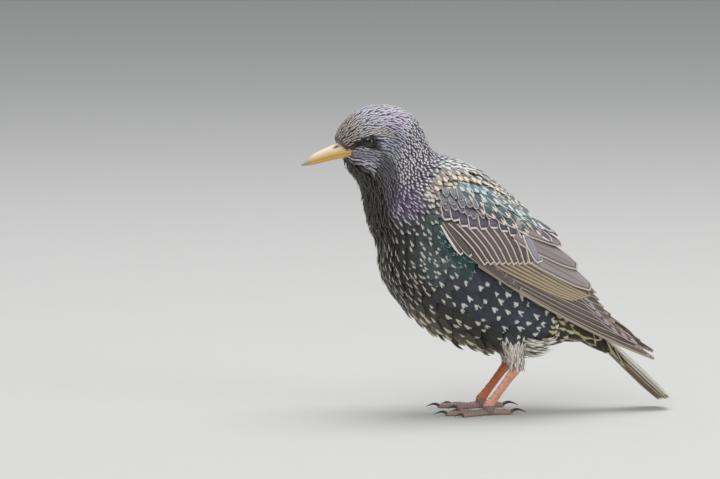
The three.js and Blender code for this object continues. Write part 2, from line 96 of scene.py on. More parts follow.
# Shader sums written as Python
class Number:  # a node's output; sums on it add Math nodes
    def __init__(self, look, socket):
        self.look, self.socket = look, socket

    def sum(self, operation, *others):
        return self.look.node("ShaderNodeMath", {"operation": operation}, dict(enumerate((self,) + others)))

    def __rsub__(self, other):
        return self * -1 + other

    def step(self, low, high):  # rises smoothly from 0 at low to 1 at high
        settings = {"interpolation_type": "SMOOTHSTEP"}
        return self.look.node("ShaderNodeMapRange", settings, {0: self, 1: low, 2: high})


for word, operation in (("__add__", "ADD"), ("__radd__", "ADD"), ("__mul__", "MULTIPLY"),
                        ("__rmul__", "MULTIPLY"), ("__sub__", "SUBTRACT"), ("__truediv__", "DIVIDE"),
                        ("__pow__", "POWER"), ("least", "MINIMUM"), ("most", "MAXIMUM")):
    setattr(Number, word, lambda self, other, operation=operation: self.sum(operation, other))


class Look:  # a material and the nodes that feed its shader
    def __init__(self, name, **constants):
        self.material = bpy.data.materials.new(name)
        self.material.use_nodes = True
        self.tree = self.material.node_tree
        self.shader = self.tree.nodes["Principled BSDF"]
        for socket, value in constants.items():
            self.shader.inputs[socket.replace("_", " ")].default_value = value

    def node(self, kind, settings=None, inputs=None, output=0):
        made = self.tree.nodes.new(kind)
        for key, value in (settings or {}).items():
            setattr(made, key, value)
        for key, value in (inputs or {}).items():
            if isinstance(value, Number):
                self.tree.links.new(value.socket, made.inputs[key])
            else:
                made.inputs[key].default_value = value
        return Number(self, made.outputs[output])

    def mix(self, factor, first, second, blend="MIX"):
        settings = {"data_type": "RGBA", "blend_type": blend}
        return self.node("ShaderNodeMix", settings, {0: factor, 6: first, 7: second}, 2)

    def attribute(self, name, output="Color"):
        return self.node("ShaderNodeAttribute", {"attribute_name": name}, output=output)

    def parts(self, name):  # the three numbers of an attribute
        made = self.tree.nodes.new("ShaderNodeSeparateXYZ")
        self.tree.links.new(self.attribute(name).socket, made.inputs[0])
        return [Number(self, out) for out in made.outputs]

    def vector(self, x, y, z):
        return self.node("ShaderNodeCombineXYZ", None, {0: x, 1: y, 2: z})

    def noise(self, scale, detail=3.0, vector=None):  # over the object's own place unless told otherwise
        vector = vector or self.node("ShaderNodeTexCoord", output="Object")
        inputs = {"Vector": vector, "Scale": scale, "Detail": detail, "Roughness": 0.55}
        return self.node("ShaderNodeTexNoise", None, inputs)

    def bump(self, height, depth, strength=1.0):
        return self.node("ShaderNodeBump", None, {"Height": height, "Distance": depth, "Strength": strength})

    def feed(self, **sockets):
        for socket, value in sockets.items():
            self.tree.links.new(value.socket, self.shader.inputs[socket.replace("_", " ")])
        return self.material


def linear(rgb):  # a picture's 0 to 255 values as linear light
    c = np.asarray(rgb, float) / 255
    return np.where(c <= 0.04045, c / 12.92, ((c + 0.055) / 1.055) ** 2.4)


def paint(rgb, times=1.0):  # a material's colour, each number times a factor
    return tuple(linear([min(255, times * c) for c in rgb])) + (1.0,)


# Numbers on arrays
def column(low, high, count):  # even steps, one in each row
    return np.linspace(low, high, count)[:, None]


def circle(count, start=0.0):  # even angles once round, in one row
    return np.linspace(start, start + 2 * math.pi, count, endpoint=False)[None, :]


def stacked(*values):  # values given by row, by column or for all, side by side in a last axis
    return np.stack(np.broadcast_arrays(*values), -1)


def through(values, t):  # a Catmull-Rom curve through evenly spaced values, straight on past its ends
    v = np.asarray(values, float)
    last = len(v) - 1
    ends = np.concatenate([[2 * v[0] - v[1]], v, [2 * v[-1] - v[-2], 3 * v[-1] - 2 * v[-2]]])
    i = np.clip(np.floor(t).astype(int), 0, last - 1)
    f = t - i
    if v.ndim > 1:
        f = f[..., None]
    a, b, c, d = ends[i], ends[i + 1], ends[i + 2], ends[i + 3]
    return b + 0.5 * f * (c - a + f * (2 * a - 5 * b + 4 * c - d + f * (3 * (b - c) + d - a)))


def ease(t):  # from 0 to 1 and flat at both ends
    c = np.clip(t, 0, 1)
    return c * c * (3 - 2 * c)


def bell(x, width):  # exp of minus the square of x over its width
    return np.exp(-(x / width) ** 2)


def blendIn(first, second, t):  # the share t of the way from first to second
    return first + (second - first) * t


def unit(v):  # each vector over its length
    return v / np.maximum(np.linalg.norm(v, axis=-1, keepdims=True), 1e-9)


def dot(a, b):  # products along the last axis, added up
    return (a * b).sum(-1, keepdims=True)


def wrapped(angle):  # between -pi and pi
    return np.arctan2(np.sin(angle), np.cos(angle))


def treeOf(places):
    tree = kdtree.KDTree(len(places))
    for i, place in enumerate(places):
        tree.insert(place, i)
    tree.balance()
    return tree


# Meshes from arrays
def gridFaces(rows, columns, wrap=False):  # quads between neighbouring rows and columns
    r, c = np.meshgrid(np.arange(rows - 1), np.arange(columns if wrap else columns - 1), indexing="ij")
    r, c, d = r.ravel(), c.ravel(), (c.ravel() + 1) % columns
    return np.stack([r * columns + c, r * columns + d, (r + 1) * columns + d, (r + 1) * columns + c], 1)


def copies(faces, count, size):  # the same faces for each of many like shapes of so many points
    return (faces[None] + np.arange(count)[:, None, None] * size).reshape(-1, 4)


def closedEnds(rings):  # the first and last ring drawn in to their middles
    first, last = (np.broadcast_to(ring.mean(0), ring.shape)[None] for ring in (rings[0], rings[-1]))
    return np.concatenate([first, rings, last])


def sameEnds(rows):  # the first and last row once more, for what closed ends carry
    return np.concatenate([rows[:1], rows, rows[-1:]])


def makeMesh(name, points, faces, look, smooth=True):  # millimetres in, metres out
    mesh = bpy.data.meshes.new(name)
    mesh.vertices.add(points.size // 3)
    mesh.vertices.foreach_set("co", (points * 0.001).ravel())
    mesh.loops.add(faces.size)
    mesh.loops.foreach_set("vertex_index", faces.ravel().astype(np.int32))
    mesh.polygons.add(len(faces))
    mesh.polygons.foreach_set("loop_start", np.arange(0, faces.size, faces.shape[1], dtype=np.int32))
    mesh.polygons.foreach_set("loop_total", np.full(len(faces), faces.shape[1], dtype=np.int32))
    mesh.polygons.foreach_set("use_smooth", np.full(len(faces), smooth))
    mesh.update(calc_edges=True)
    mesh.materials.append(look)
    return mesh


def addLayer(mesh, key, values):
    layer = mesh.attributes.new(key, "FLOAT_COLOR", "POINT")
    layer.data.foreach_set("color", values.astype(np.float32).ravel())


def addObject(name, mesh):
    made = bpy.data.objects.new(name, mesh)
    bpy.context.scene.collection.objects.link(made)
    return made


def declare(name, mesh, nodes=()):
    piece = addObject(name, mesh)
    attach(piece, "root")
    if nodes:
        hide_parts(*nodes)


# A piece from its points, its faces and the four numbers that each layer gives every point
def addPiece(name, points, faces, look, nodes=(), layers={}, uv=None):
    mesh = makeMesh(name, points + centring, faces, look)
    for key, values in layers.items():
        addLayer(mesh, key, np.broadcast_to(values, points.shape[:-1] + (4,)))
    if uv is not None:
        mesh.uv_layers.new(name="OFBake").data.foreach_set("uv", uv.astype(np.float32).ravel())
    declare(name, mesh, nodes)


floorDisc = {"radius": 5200, "bend": 900, "wall": 3500, "rings": 60, "sides": 72}


def addFloor():  # a flat disc whose rim curves up into a round wall, radius against angle
    run, angle = column(0, 1, floorDisc["rings"]), circle(floorDisc["sides"])
    bent = np.clip((run - 0.7) / 0.2, 0, 1) * math.pi / 2
    radius = floorDisc["radius"] * np.minimum(run / 0.7, 1) + floorDisc["bend"] * np.sin(bent)
    height = floorDisc["bend"] * (1 - np.cos(bent)) + floorDisc["wall"] * np.clip((run - 0.9) / 0.1, 0, 1)
    look = Look("pale_floor", Roughness=0.85)
    darker = tuple(0.97 * c for c in studio["floor"][:3]) + (1,)
    finish = look.feed(Base_Color=look.mix(look.noise(60.0), studio["floor"], darker))
    points = stacked(radius * np.cos(angle), radius * np.sin(angle), height)
    faces = gridFaces(floorDisc["rings"], floorDisc["sides"], True)
    addObject("floor", makeMesh("floor", points, faces, finish, False))


addFloor()
print("camera, floor and light")

# The body's own surface, as in the solids
centring = np.array([-0.96, 0, 0])
body = {
    "headTurn": 0.21, "turnAxis": -43, "turnEnds": 11, "turnOver": 5, "fullness": 0.92,
    # the hollow between eye and bill: its section, angle and depth, its reach along and round
    "lores": (1.9, 1.72, 0.3, 1.3, 0.42),
    # [back x, back z, front x, front z, half width] at each section from the bill's base to the tail's
    "sections": np.array([
        [-72.3, 131.3, -66.6, 123.8, 4.9], [-71.5, 135.2, -66.2, 120.0, 6.4],
        [-68.8, 139.4, -64.6, 117.0, 7.9], [-63.9, 144.1, -62.5, 114.5, 9.5],
        [-57.2, 147.4, -60.4, 111.8, 11.0], [-49.6, 148.4, -58.9, 109.2, 12.2],
        [-41.4, 147.2, -58.0, 106.2, 13.1], [-34.2, 143.0, -57.2, 102.9, 13.7],
        [-29.4, 136.5, -56.5, 99.0, 14.2], [-26.8, 130.6, -55.3, 93.7, 15.1],
        [-24.0, 125.8, -53.6, 88.4, 16.4], [-17.6, 123.4, -51.2, 83.1, 18.4],
        [-9.6, 120.5, -49.7, 76.8, 20.6], [-1.2, 116.1, -48.8, 69.1, 22.7],
        [6.8, 110.1, -44.9, 60.4, 24.0], [14.4, 103.8, -38.2, 52.2, 24.7],
        [21.4, 97.2, -29.0, 44.2, 24.4], [27.4, 89.8, -17.4, 37.2, 22.8],
        [32.8, 81.6, -4.3, 32.2, 19.8], [37.6, 73.2, 8.7, 29.2, 16.6], [42.2, 64.6, 22.2, 28.4, 13.8],
        [46.4, 56.8, 34.6, 32.6, 11.8], [50.6, 49.4, 46.4, 33.6, 10.0], [55.5, 42.5, 56.0, 29.6, 7.6],
        [61.3, 34.0, 62.2, 27.6, 3.2]]),
}


def turnHead(points, amount):  # about a standing axis: x cos less y sin, x sin plus y cos
    x, y = points[..., 0] - body["turnAxis"], points[..., 1]
    c, s = np.cos(amount), np.sin(amount)
    return stacked(body["turnAxis"] + x * c - y * s, x * s + y * c, points[..., 2])


# Section s from bill to tail, angle from the back (0) round the left side to the belly (pi): an oval across
# the line from back to front, its side filled out a little, and turned with the head
def bodyPoint(s, angle, grow=0.0):
    s, angle = np.broadcast_arrays(np.asarray(s, float), angle)
    r = through(body["sections"], s)
    back, front = r[..., :2], r[..., 2:4]
    across = front - back
    out = unit(across) * np.asarray(grow)[..., None]
    point = back - out + (across + 2 * out) * ((1 - np.cos(angle)) / 2)[..., None]
    at, side, depth, along, around = body["lores"]
    near = ((s - at) / along) ** 2 + ((np.abs(wrapped(angle)) - side) / around) ** 2
    wide = r[..., 4] * (1 - depth * np.exp(-near)) + grow
    sine = np.sin(angle)
    y = -np.sign(sine) * np.abs(sine) ** body["fullness"] * wide
    turn = body["headTurn"] * ease((body["turnEnds"] - s) / body["turnOver"])
    return turnHead(stacked(point[..., 0], y, point[..., 1]), turn)


def wayFrom(start, end):  # the length of a line in the standing plane and its direction
    length = math.hypot(end[0] - start[0], end[1] - start[1])
    return length, ((end[0] - start[0]) / length, (end[1] - start[1]) / length)


# Wings: u runs from the wrist to the tip and q round from the side up to the midline of the back
wing = {
    "wrist": (-19.8, 89.4), "tip": (82.3, 24.2), "start": -20, "step": 20, "farTipLift": 3.2,
    "spread": [18.4, 24.6, 26.2, 24.2, 19.0, 13.4, 8.6, 5.0],
    "crest": [32.0, 31.0, 28.8, 25.6, 22.4, 15.6, 9.4, 5.2],
    "keel": [-5.5, -5.0, -4.5, -4.0, -3.5, -3.0, -2.5, -2.0],
}
wingLength, wingAlong = wayFrom(wing["wrist"], wing["tip"])


def wingAt(u):  # the keel, its reach to the crest and the spread at u
    t = (u - wing["start"]) / wing["step"]
    keel = through(wing["keel"], t)
    return keel, through(wing["crest"], t) - keel, through(wing["spread"], t)


# A quarter round from the keel up to the crest, laid along the line from wrist to tip
def wingSurface(side):
    def point(u, q):
        u, q = np.broadcast_arrays(np.asarray(u, float), q)
        keel, reach, spread = wingAt(u)
        angle = q / reach
        lift = wing["farTipLift"] * ease(u / wingLength - 0.2) if side > 0 else 0
        up = keel + reach * np.sin(angle) + lift
        ax, az = wingAlong
        x, z = wing["wrist"][0] + u * ax - up * az, wing["wrist"][1] + u * az + up * ax
        return stacked(x, side * (spread * np.cos(angle)), z)
    return point


def seen(u, v):  # the q of a place v over the wrist line, as seen from the side
    keel, reach, _ = wingAt(np.asarray(u, float))
    return reach * np.arcsin(np.clip((v - keel) / reach, -0.97, 0.97))


tail = {"root": (44.6, 50.0), "tip": (90.8, 4.7), "roll": 0.205, "arch": 0.012, "feathers": 12}
tailLength, tailWay = wayFrom(tail["root"], tail["tip"])


def tailSurface(u, q):  # a gently arched plane, its left edge a little higher
    u, q = np.broadcast_arrays(np.asarray(u, float), q)
    along, sideways = np.array([tailWay[0], 0, tailWay[1]]), np.array([0, 1.0, 0])
    across = sideways * math.cos(tail["roll"]) + np.cross(along, sideways) * math.sin(-tail["roll"])
    up = np.cross(across, along)
    up = up * np.sign(up[2])
    root = np.array([tail["root"][0], 0, tail["root"][1]])
    return root + along * u[..., None] + across * q[..., None] - up * (tail["arch"] * q * q)[..., None]


leg = {"hip": (12.5, 8.6, 42.0), "ankle": (14.8, 13.0, 22.8), "foot": (1.2, 13.4, 4.4), "farShift": 0.8,
       "thighTop": 7.0, "thighEnd": 3.3, "thighFlat": 0.85}


def thighSurface(side):
    def point(t, angle, grow=0.0):  # rings from hip to ankle that narrow downwards
        t, angle = np.broadcast_arrays(np.asarray(t, float), angle)
        r = blendIn(leg["thighTop"], leg["thighEnd"], ease(t) * 0.75 + t * 0.25) + grow
        x, y, z = (blendIn(leg["hip"][k], leg["ankle"][k], t) for k in range(3))
        back = leg["farShift"] if side > 0 else 0
        return stacked(x + back + r * np.cos(angle), side * y + leg["thighFlat"] * r * np.sin(angle), z)
    return point


# Plumage: what each tract of the body wears, laid over the usual values; later tracts lie over earlier ones.
# ground and mark are the colours of vane and marking; gloss is how metallic the vane is; size, width and
# power shape the marking (size along the feather from its tip, width across, power 1 a wedge and near 0 a
# stripe); fringeSide and fringeTip are the pale rim; pitch is millimetres between feathers; long and broad
# are their size in pitches; deep is the coat's depth; rise, ruffle and unruly lift and turn them, sweep turns
# them outwards and step is the distance between rows in pitches.
usual = dict(ground=(60, 60, 62), mark=(204, 200, 190), gloss=0.22, size=0.24, width=0.3, power=0.9,
             fringeSide=0.002, fringeTip=0.002, pitch=3.2, long=2.9, broad=0.95, deep=2.3, rise=0.0,
             ruffle=0.1, unruly=0.07, sweep=0.0, step=0.84)


def tract(s, a, soft, **worn):  # its reach in sections, in angle from the back, and both edges' softness
    return dict(worn, s=s, a=a, soft=soft)


tracts = [
    # head
    tract((-2, 10.2), (-1, 2.6), (0.6, 0.2), ground=(90, 88, 98), mark=(200, 198, 210), gloss=0.06,
          size=0.7, width=0.5, power=0.3, pitch=1.22, long=3.4, broad=0.62, deep=0.9),
    tract((-2, 2.6), (-1, 1.4), (2.0, 0.2), ground=(84, 76, 72), mark=(206, 196, 182), pitch=0.95,
          size=0.62, width=0.36, long=3.8, deep=0.8),
    tract((-2, 0.9), (-1, 9), (0.5, 0.2), pitch=0.78, long=3.4, deep=0.5),
    tract((-2, 0.9), (-1, 1.45), (0.8, 0.2), ground=(98, 88, 80), mark=(222, 211, 197), size=0.5,
          width=0.32),
    tract((-2, 2.0), (1.42, 1.6), (0.8, 0.08), ground=(78, 66, 60), mark=(110, 96, 88), size=0.4,
          width=0.3),
    tract((4.4, 6.8), (0.35, 1.05), (1.2, 0.3), ground=(97, 90, 108), mark=(207, 198, 217), gloss=0.08),
    tract((4.6, 7.6), (1.0, 1.66), (1.0, 0.25), ground=(88, 88, 98), mark=(176, 178, 190), size=0.5,
          width=0.42, power=0.4),
    tract((6.4, 10.8), (-1, 1.78), (1.2, 0.25), ground=(80, 75, 88), mark=(212, 209, 215), size=0.32,
          width=0.5, power=0.4, pitch=1.36, long=2.9, broad=0.74, gloss=0.14, deep=1.2),
    tract((4.6, 7.2), (1.66, 2.2), (0.9, 0.16), ground=(68, 67, 70), mark=(112, 110, 116), size=0.6,
          width=0.25, pitch=1.1, long=3.3, broad=0.7, deep=0.9),
    tract((4.4, 9.8), (2.08, 2.4), (0.9, 0.2), ground=(52, 49, 52), mark=(112, 107, 108), size=0.4,
          width=0.26, pitch=1.25, long=4.0, broad=0.62, deep=1.3),
    tract((7.0, 9.2), (1.72, 2.3), (0.9, 0.25), ground=(60, 56, 62), mark=(128, 121, 130), size=0.36,
          width=0.28),
    tract((1.2, 4.4), (1.68, 1.98), (0.6, 0.1), ground=(112, 109, 120), mark=(166, 163, 175), size=0.6,
          width=0.35, pitch=0.95, deep=0.6),
    tract((1.5, 3.5), (1.36, 1.6), (0.9, 0.09), ground=(32, 29, 27), mark=(46, 42, 39), pitch=0.8, deep=0.5,
          size=0.4, width=0.3),
    tract((3.4, 4.7), (1.55, 1.66), (0.5, 0.06), ground=(44, 42, 42), mark=(70, 68, 68), pitch=0.8),
    tract((2.6, 5.6), (1.08, 1.28), (0.5, 0.1), mark=(202, 195, 186), pitch=0.9, deep=0.5),
    # throat and breast
    tract((-2, 10.5), (2.24, 9), (1.0, 0.26), ground=(38, 36, 34), mark=(112, 108, 98), gloss=0.12,
          size=0.55, width=0.17, power=0.3, pitch=1.35, long=4.8, broad=0.6, deep=1.7, rise=0.35,
          ruffle=0.35, unruly=0.12),
    tract((9.0, 11.0), (1.4, 2.0), (1.2, 0.35), ground=(96, 82, 104), mark=(200, 188, 204), gloss=0.25,
          size=0.34, width=0.26, power=0.5, pitch=1.7, long=3.6, broad=0.75, deep=1.7),
    tract((10.5, 14.5), (2.2, 9), (1.2, 0.4), ground=(50, 48, 45), mark=(196, 191, 176), gloss=0.18,
          size=0.3, width=0.22, power=0.6, pitch=2.6, long=3.8, broad=0.7, deep=2.3, rise=0.4, ruffle=0.5,
          unruly=0.12, sweep=0.05),
    tract((12.4, 14.6), (1.3, 2.15), (1.8, 0.4), ground=(74, 90, 88), mark=(214, 216, 208), gloss=0.3,
          size=0.21, width=0.26, power=0.7, pitch=3.2, long=3.0, broad=0.85, deep=2.3, sweep=0.1),
    tract((14.5, 20.0), (1.2, 2.15), (1.4, 0.4), ground=(58, 61, 71), mark=(222, 223, 220), gloss=0.3,
          size=0.2, width=0.27, power=0.9, pitch=5.9, long=2.6, broad=0.9, deep=2.6, sweep=0.26, step=1.15),
    tract((14.5, 19.8), (2.15, 9), (1.4, 0.3), ground=(50, 50, 46), mark=(216, 212, 196), gloss=0.14,
          size=0.22, width=0.27, power=0.85, pitch=5.4, long=2.7, broad=0.9, deep=2.6, sweep=0.26),
    tract((14.5, 20.2), (2.55, 9), (1.2, 0.3), ground=(92, 85, 66), mark=(216, 208, 182), gloss=0.06,
          size=0.4, width=0.46, power=0.6, pitch=3.7, long=3.2, broad=0.8, deep=2.6, rise=1.2, ruffle=1.0,
          unruly=0.14),
    tract((11.4, 13.0), (1.2, 1.74), (0.9, 0.25), ground=(76, 92, 92), gloss=0.25),
    tract((12.6, 14.9), (1.2, 1.74), (0.8, 0.14), ground=(54, 78, 80), mark=(146, 172, 170), size=0.12,
          width=0.22, gloss=0.42, pitch=3.2, long=3.8, broad=0.72, fringeSide=0.05, step=0.8),
    # back
    tract((10.2, 13.4), (-1, 1.45), (0.9, 0.3), ground=(108, 112, 116), mark=(220, 220, 214), gloss=0.2,
          size=0.42, width=0.5, power=0.6, pitch=2.0, long=3.0, broad=0.85, deep=1.9),
    tract((10.6, 12.0), (0.8, 1.42), (0.6, 0.3), ground=(116, 111, 106), mark=(226, 214, 194), size=0.44,
          width=0.6, pitch=1.9),
    tract((12.6, 18.0), (-1, 1.25), (1.2, 0.3), ground=(102, 112, 112), mark=(220, 216, 202), gloss=0.26,
          size=0.24, width=0.42, power=0.6, pitch=2.9, long=3.6, broad=0.8, deep=1.9, fringeSide=0.18,
          fringeTip=0.06),
    # a pale turquoise patch high on the side by the wing's root: painted sheen, a highlight laid into the
    # colour of feathers whose green gloss is their own
    tract((12.2, 13.8), (0.95, 1.35), (0.6, 0.2), ground=(120, 156, 152), mark=(226, 238, 230), gloss=0.4),
    tract((17.5, 25), (-1, 1.3), (1.0, 0.3), ground=(98, 99, 96), mark=(196, 188, 168), size=0.14,
          width=0.5, pitch=3.6, fringeSide=0.16, fringeTip=0.1, deep=1.6),
    # vent and under the tail: first cream wedges, then dark centres with cream edges
    tract((19.2, 25), (1.35, 9), (0.4, 0.25), ground=(46, 45, 36), mark=(208, 200, 168), gloss=0.03,
          size=0.34, width=0.5, power=0.9, fringeSide=0.02, fringeTip=0.02, pitch=4.6, long=2.4, broad=0.8,
          deep=1.8, rise=0.3, sweep=0.4, step=1.05, unruly=0.05),
    tract((19.2, 20.9), (1.3, 1.78), (0.4, 0.15), ground=(64, 57, 36), mark=(202, 192, 152), pitch=3.2,
          size=0.42, width=0.4, long=3.0),
    tract((20.7, 25), (1.35, 9), (0.3, 0.25), ground=(44, 38, 20), mark=(190, 184, 138), size=0.05,
          width=0.3, fringeSide=0.34, fringeTip=0.06, pitch=7.0, long=2.3, broad=0.62, sweep=0.1, step=1.0),
]


def within(x, low, high, soft):  # 1 between low and high, eased to 0 over the soft edges
    return ease((x - low) / soft + 0.5) * ease((high - x) / soft + 0.5)


def usualWear(shape):
    return {key: np.broadcast_to(np.asarray(value, float), shape + np.shape(value)).copy()
            for key, value in usual.items()}


def wornAt(s, angle):  # each tract's values, mixed by how far a place is inside it
    side = np.abs(wrapped(angle))
    worn = usualWear(s.shape)
    for here in tracts:
        share = within(s, *here["s"], here["soft"][0]) * within(side, *here["a"], here["soft"][1])
        for key in usual.keys() & here.keys():
            part = share[..., None] if np.ndim(here[key]) else share
            worn[key] = worn[key] + (np.asarray(here[key], float) - worn[key]) * part
    return worn


# Materials of the plumage. The mesh carries, at each point, where on its feather it lies and what it wears:
# vane holds (along, across, true half width, chance), form (size, width, power) and rim (side, tip, way to
# the edge)
def plumageLook(name, rough, barbs=1.0, rimSoft=0.35, line=0.0, sheen=0.0):
    look = Look(name, Specular_IOR_Level=0.35, Sheen_Weight=sheen, Sheen_Roughness=0.45)
    along, across, half = look.parts("vane")
    luck = look.attribute("vane", "Alpha")
    size, width, power = look.parts("form")
    rimSide, rimTip, edge = look.parts("rim")
    ground, gloss, mark = look.attribute("ground"), look.attribute("ground", "Alpha"), look.attribute("mark")
    fray = look.noise(1.0, 2.0, look.vector(along * 9.0, across * 5.0, luck * 31.0)) - 0.5
    rise = ((along + fray * 0.06 - 1.0 + size) / size).most(0.001).least(1.0)
    spot = (width * rise ** power - half).step(-0.07, 0.1) * rise.step(0.0, 0.15)
    rim = (edge / rimSide).least((1.0 - along) / rimTip) + fray * 0.5
    fringe = rim.step(1.0 + rimSoft, 1.0 - rimSoft)
    pale = spot.most(fringe)
    barb = look.noise(1.0, 2.0, look.vector((along - across * 0.3) * 42.0, across * 2.2, luck * 57.0))
    shade = (barb * 0.5 + 0.75) * (luck * 0.3 + 0.85)
    shaft = across.step(0.1, 0.03) * (1.0 - pale)
    base = look.mix(1.0, ground, look.vector(shade, shade, shade), "MULTIPLY")
    base = look.mix(shaft * 0.35, base, (0.012, 0.011, 0.01, 1))
    warm = look.vector(barb * 0.25 + 0.85, barb * 0.25 + 0.84, barb * 0.25 + 0.83)
    worn = look.mix(1.0, mark, warm, "MULTIPLY")
    colour = look.mix(spot, base, worn)
    if line:  # a darker line just inside the pale fringe
        inner = rim.step(0.9, 1.25) * rim.step(2.6, 1.7) * line
        colour = look.mix(inner, colour, look.mix(1.0, colour, (0.3, 0.28, 0.27, 1), "MULTIPLY"))
    return look.feed(Base_Color=look.mix(fringe, colour, worn), Metallic=gloss * (1.0 - pale),
                     Roughness=rough + pale * 0.2 - gloss * 0.25 + (barb - 0.5) * 0.15,
                     Normal=look.bump(barb * barbs + shaft * 1.5, 0.00012, 0.6))


bodyPlumage = plumageLook("body_plumage_gloss", 0.56, sheen=0.2)
headPlumage = plumageLook("head_plumage", 0.62, sheen=0.2)
vanePlumage = plumageLook("flight_feather_vanes", 0.55, 1.4, 0.25, line=0.65)

# Feather patterns: stations from root to tip, columns across, outline as half width at each station.
# tipFrom and tipWithin say which faces carry the tip's marking.
sevenColumns, fiveColumns = (-1, -0.66, -0.33, 0, 0.33, 0.66, 1), (-1, -0.5, 0, 0.5, 1)
patterns = {
    "contour": dict(stations=(0.0, 0.22, 0.4, 0.56, 0.7, 0.81, 0.9, 0.965, 1.0), columns=sevenColumns,
                    outline=(0.35, 0.66, 0.9, 1.0, 0.98, 0.86, 0.66, 0.42, 0.16), tipFrom=0.7, tipWithin=0.6,
                    ragged=0.05),
    "hackle": dict(stations=(0.0, 0.25, 0.48, 0.66, 0.82, 0.93, 1.0), columns=fiveColumns,
                   outline=(0.5, 0.9, 1.0, 0.85, 0.58, 0.32, 0.06), tipFrom=0.6, tipWithin=0.55, ragged=0.06),
    "small": dict(stations=(0.0, 0.3, 0.55, 0.75, 0.9, 1.0), columns=fiveColumns,
                  outline=(0.5, 0.95, 1.0, 0.82, 0.5, 0.14), tipFrom=0.5, tipWithin=0.6, ragged=0.05),
    "covert": dict(stations=(0.0, 0.22, 0.4, 0.55, 0.68, 0.79, 0.88, 0.95, 1.0), columns=sevenColumns,
                   outline=(0.35, 0.7, 0.92, 1.0, 0.94, 0.76, 0.52, 0.28, 0.04), tipFrom=0.6, tipWithin=0.6,
                   ragged=0.03),
}


def frameAt(surface, p, q, outward):  # the surface's two slopes at a place and its unit normal
    e = 0.02
    dp = (surface(p + e, q) - surface(p - e, q)) / (2 * e)
    dq = (surface(p, q + e) - surface(p, q - e)) / (2 * e)
    return dp, dq, unit(np.cross(dp, dq)) * outward


def move(dp, dq, step):  # the change of p and q that makes a step along the surface
    pp, pq, qq = dot(dp, dp), dot(dp, dq), dot(dq, dq)
    sp, sq = dot(step, dp), dot(step, dq)
    low = np.maximum(pp * qq - pq * pq, 1e-9)
    return ((sp * qq - sq * pq) / low)[..., 0], ((sq * pp - sp * pq) / low)[..., 0]


def headingAt(dp, normal, turn):  # along the surface away from the bill, turned about the normal
    ahead = unit(dp - normal * dot(dp, normal))
    return unit(ahead * np.cos(turn)[:, None] + np.cross(normal, ahead) * np.sin(turn)[:, None])


def withAlpha(rgb, alpha):  # one linear colour and number for all points of each feather
    return np.concatenate([linear(rgb), np.broadcast_to(alpha, (len(rgb),))[:, None]], 1)[:, None, None]


# Feathers walk along the surface from their roots, station by station. Each spreads across by its outline,
# is highest along its shaft, and rises from the coat's depth at its root to the surface at its tip
def layFeathers(name, pattern, surface, outward, p, q, wear, unwrap, look):
    shape = patterns[pattern]
    t, c, outline = (np.array(shape[key]) for key in ("stations", "columns", "outline"))
    n, rows, columns = len(p), len(t), len(c)
    own = np.random.default_rng(len(name) * 101 + n)
    luck, roll = own.random(n), own.normal(0, 1, n)
    ragged = own.normal(0, shape["ragged"], (n, columns))
    points = np.zeros((n, rows, columns, 3))
    for j in range(rows):
        if j:
            stepP, stepQ = move(dp, dq, heading * (wear["length"] * (t[j] - t[j - 1]))[:, None])
            atP, atQ = atP + stepP, atQ + stepQ
        else:
            atP, atQ = p, q
        dp, dq, normal = frameAt(surface, atP, atQ, outward)
        heading = headingAt(dp, normal, wear["turn"])
        wide = wear["half"] * outline[j]
        reach = ragged * wear["length"][:, None] * ease((t[j] - 0.5) * 2)
        step = np.cross(normal, heading)[:, None] * (wide[:, None] * c)[..., None]
        step = step + heading[:, None] * reach[..., None]
        stepP, stepQ = move(dp[:, None], dq[:, None], step)
        height = blendIn(-wear["deep"], wear["tip"], 1 - (1 - t[j]) ** 1.6)
        height = height[:, None] + (wear["camber"] * outline[j])[:, None] * (1 - c ** 2)
        height = height + roll[:, None] * c * 0.05 * wide[:, None]
        place = surface(atP[:, None] + stepP, atQ[:, None] + stepQ)
        points[:, j] = place + normal[:, None] * height[..., None]
    faces = gridFaces(rows, columns)
    turned = np.cross(points[:, 0, 1] - points[:, 0, 0], points[:, 1, 0] - points[:, 0, 0])
    if np.median(dot(turned, frameAt(surface, p, q, outward)[2])) < 0:
        faces = faces[:, ::-1]
    inward = (1 - np.abs(c)) * outline[:, None]
    layers = {
        "vane": stacked(t[:, None], np.abs(c), np.abs(c) * outline[:, None], luck[:, None, None]),
        "form": stacked(wear["size"], wear["width"], wear["power"], luck)[:, None, None],
        "rim": stacked(wear["fringeSide"][:, None, None], wear["fringeTip"][:, None, None], inward, inward),
        "ground": withAlpha(wear["ground"], wear["gloss"]),
        "mark": withAlpha(wear["mark"], 1.0),
    }
    # each feather's patch is 0.003 across at its root's place; the tip's faces lie in the map's other half
    ft, fc = t[faces // columns], c[faces % columns]
    tip = (ft.mean(1) > shape["tipFrom"]) & (np.abs(fc.mean(1)) < shape["tipWithin"])
    place = unwrap[:, :, None, None] * 0.97 + 0.015
    uv = stacked(place[:, 0] * 0.5 + tip[:, None] * 0.5 + fc * 0.0015, place[:, 1] + (ft - 0.5) * 0.003)
    addPiece(name, points, copies(faces, n, rows * columns), look, (), layers, uv)
    print(name, n, "feathers", 2 * n * len(faces), "triangles")


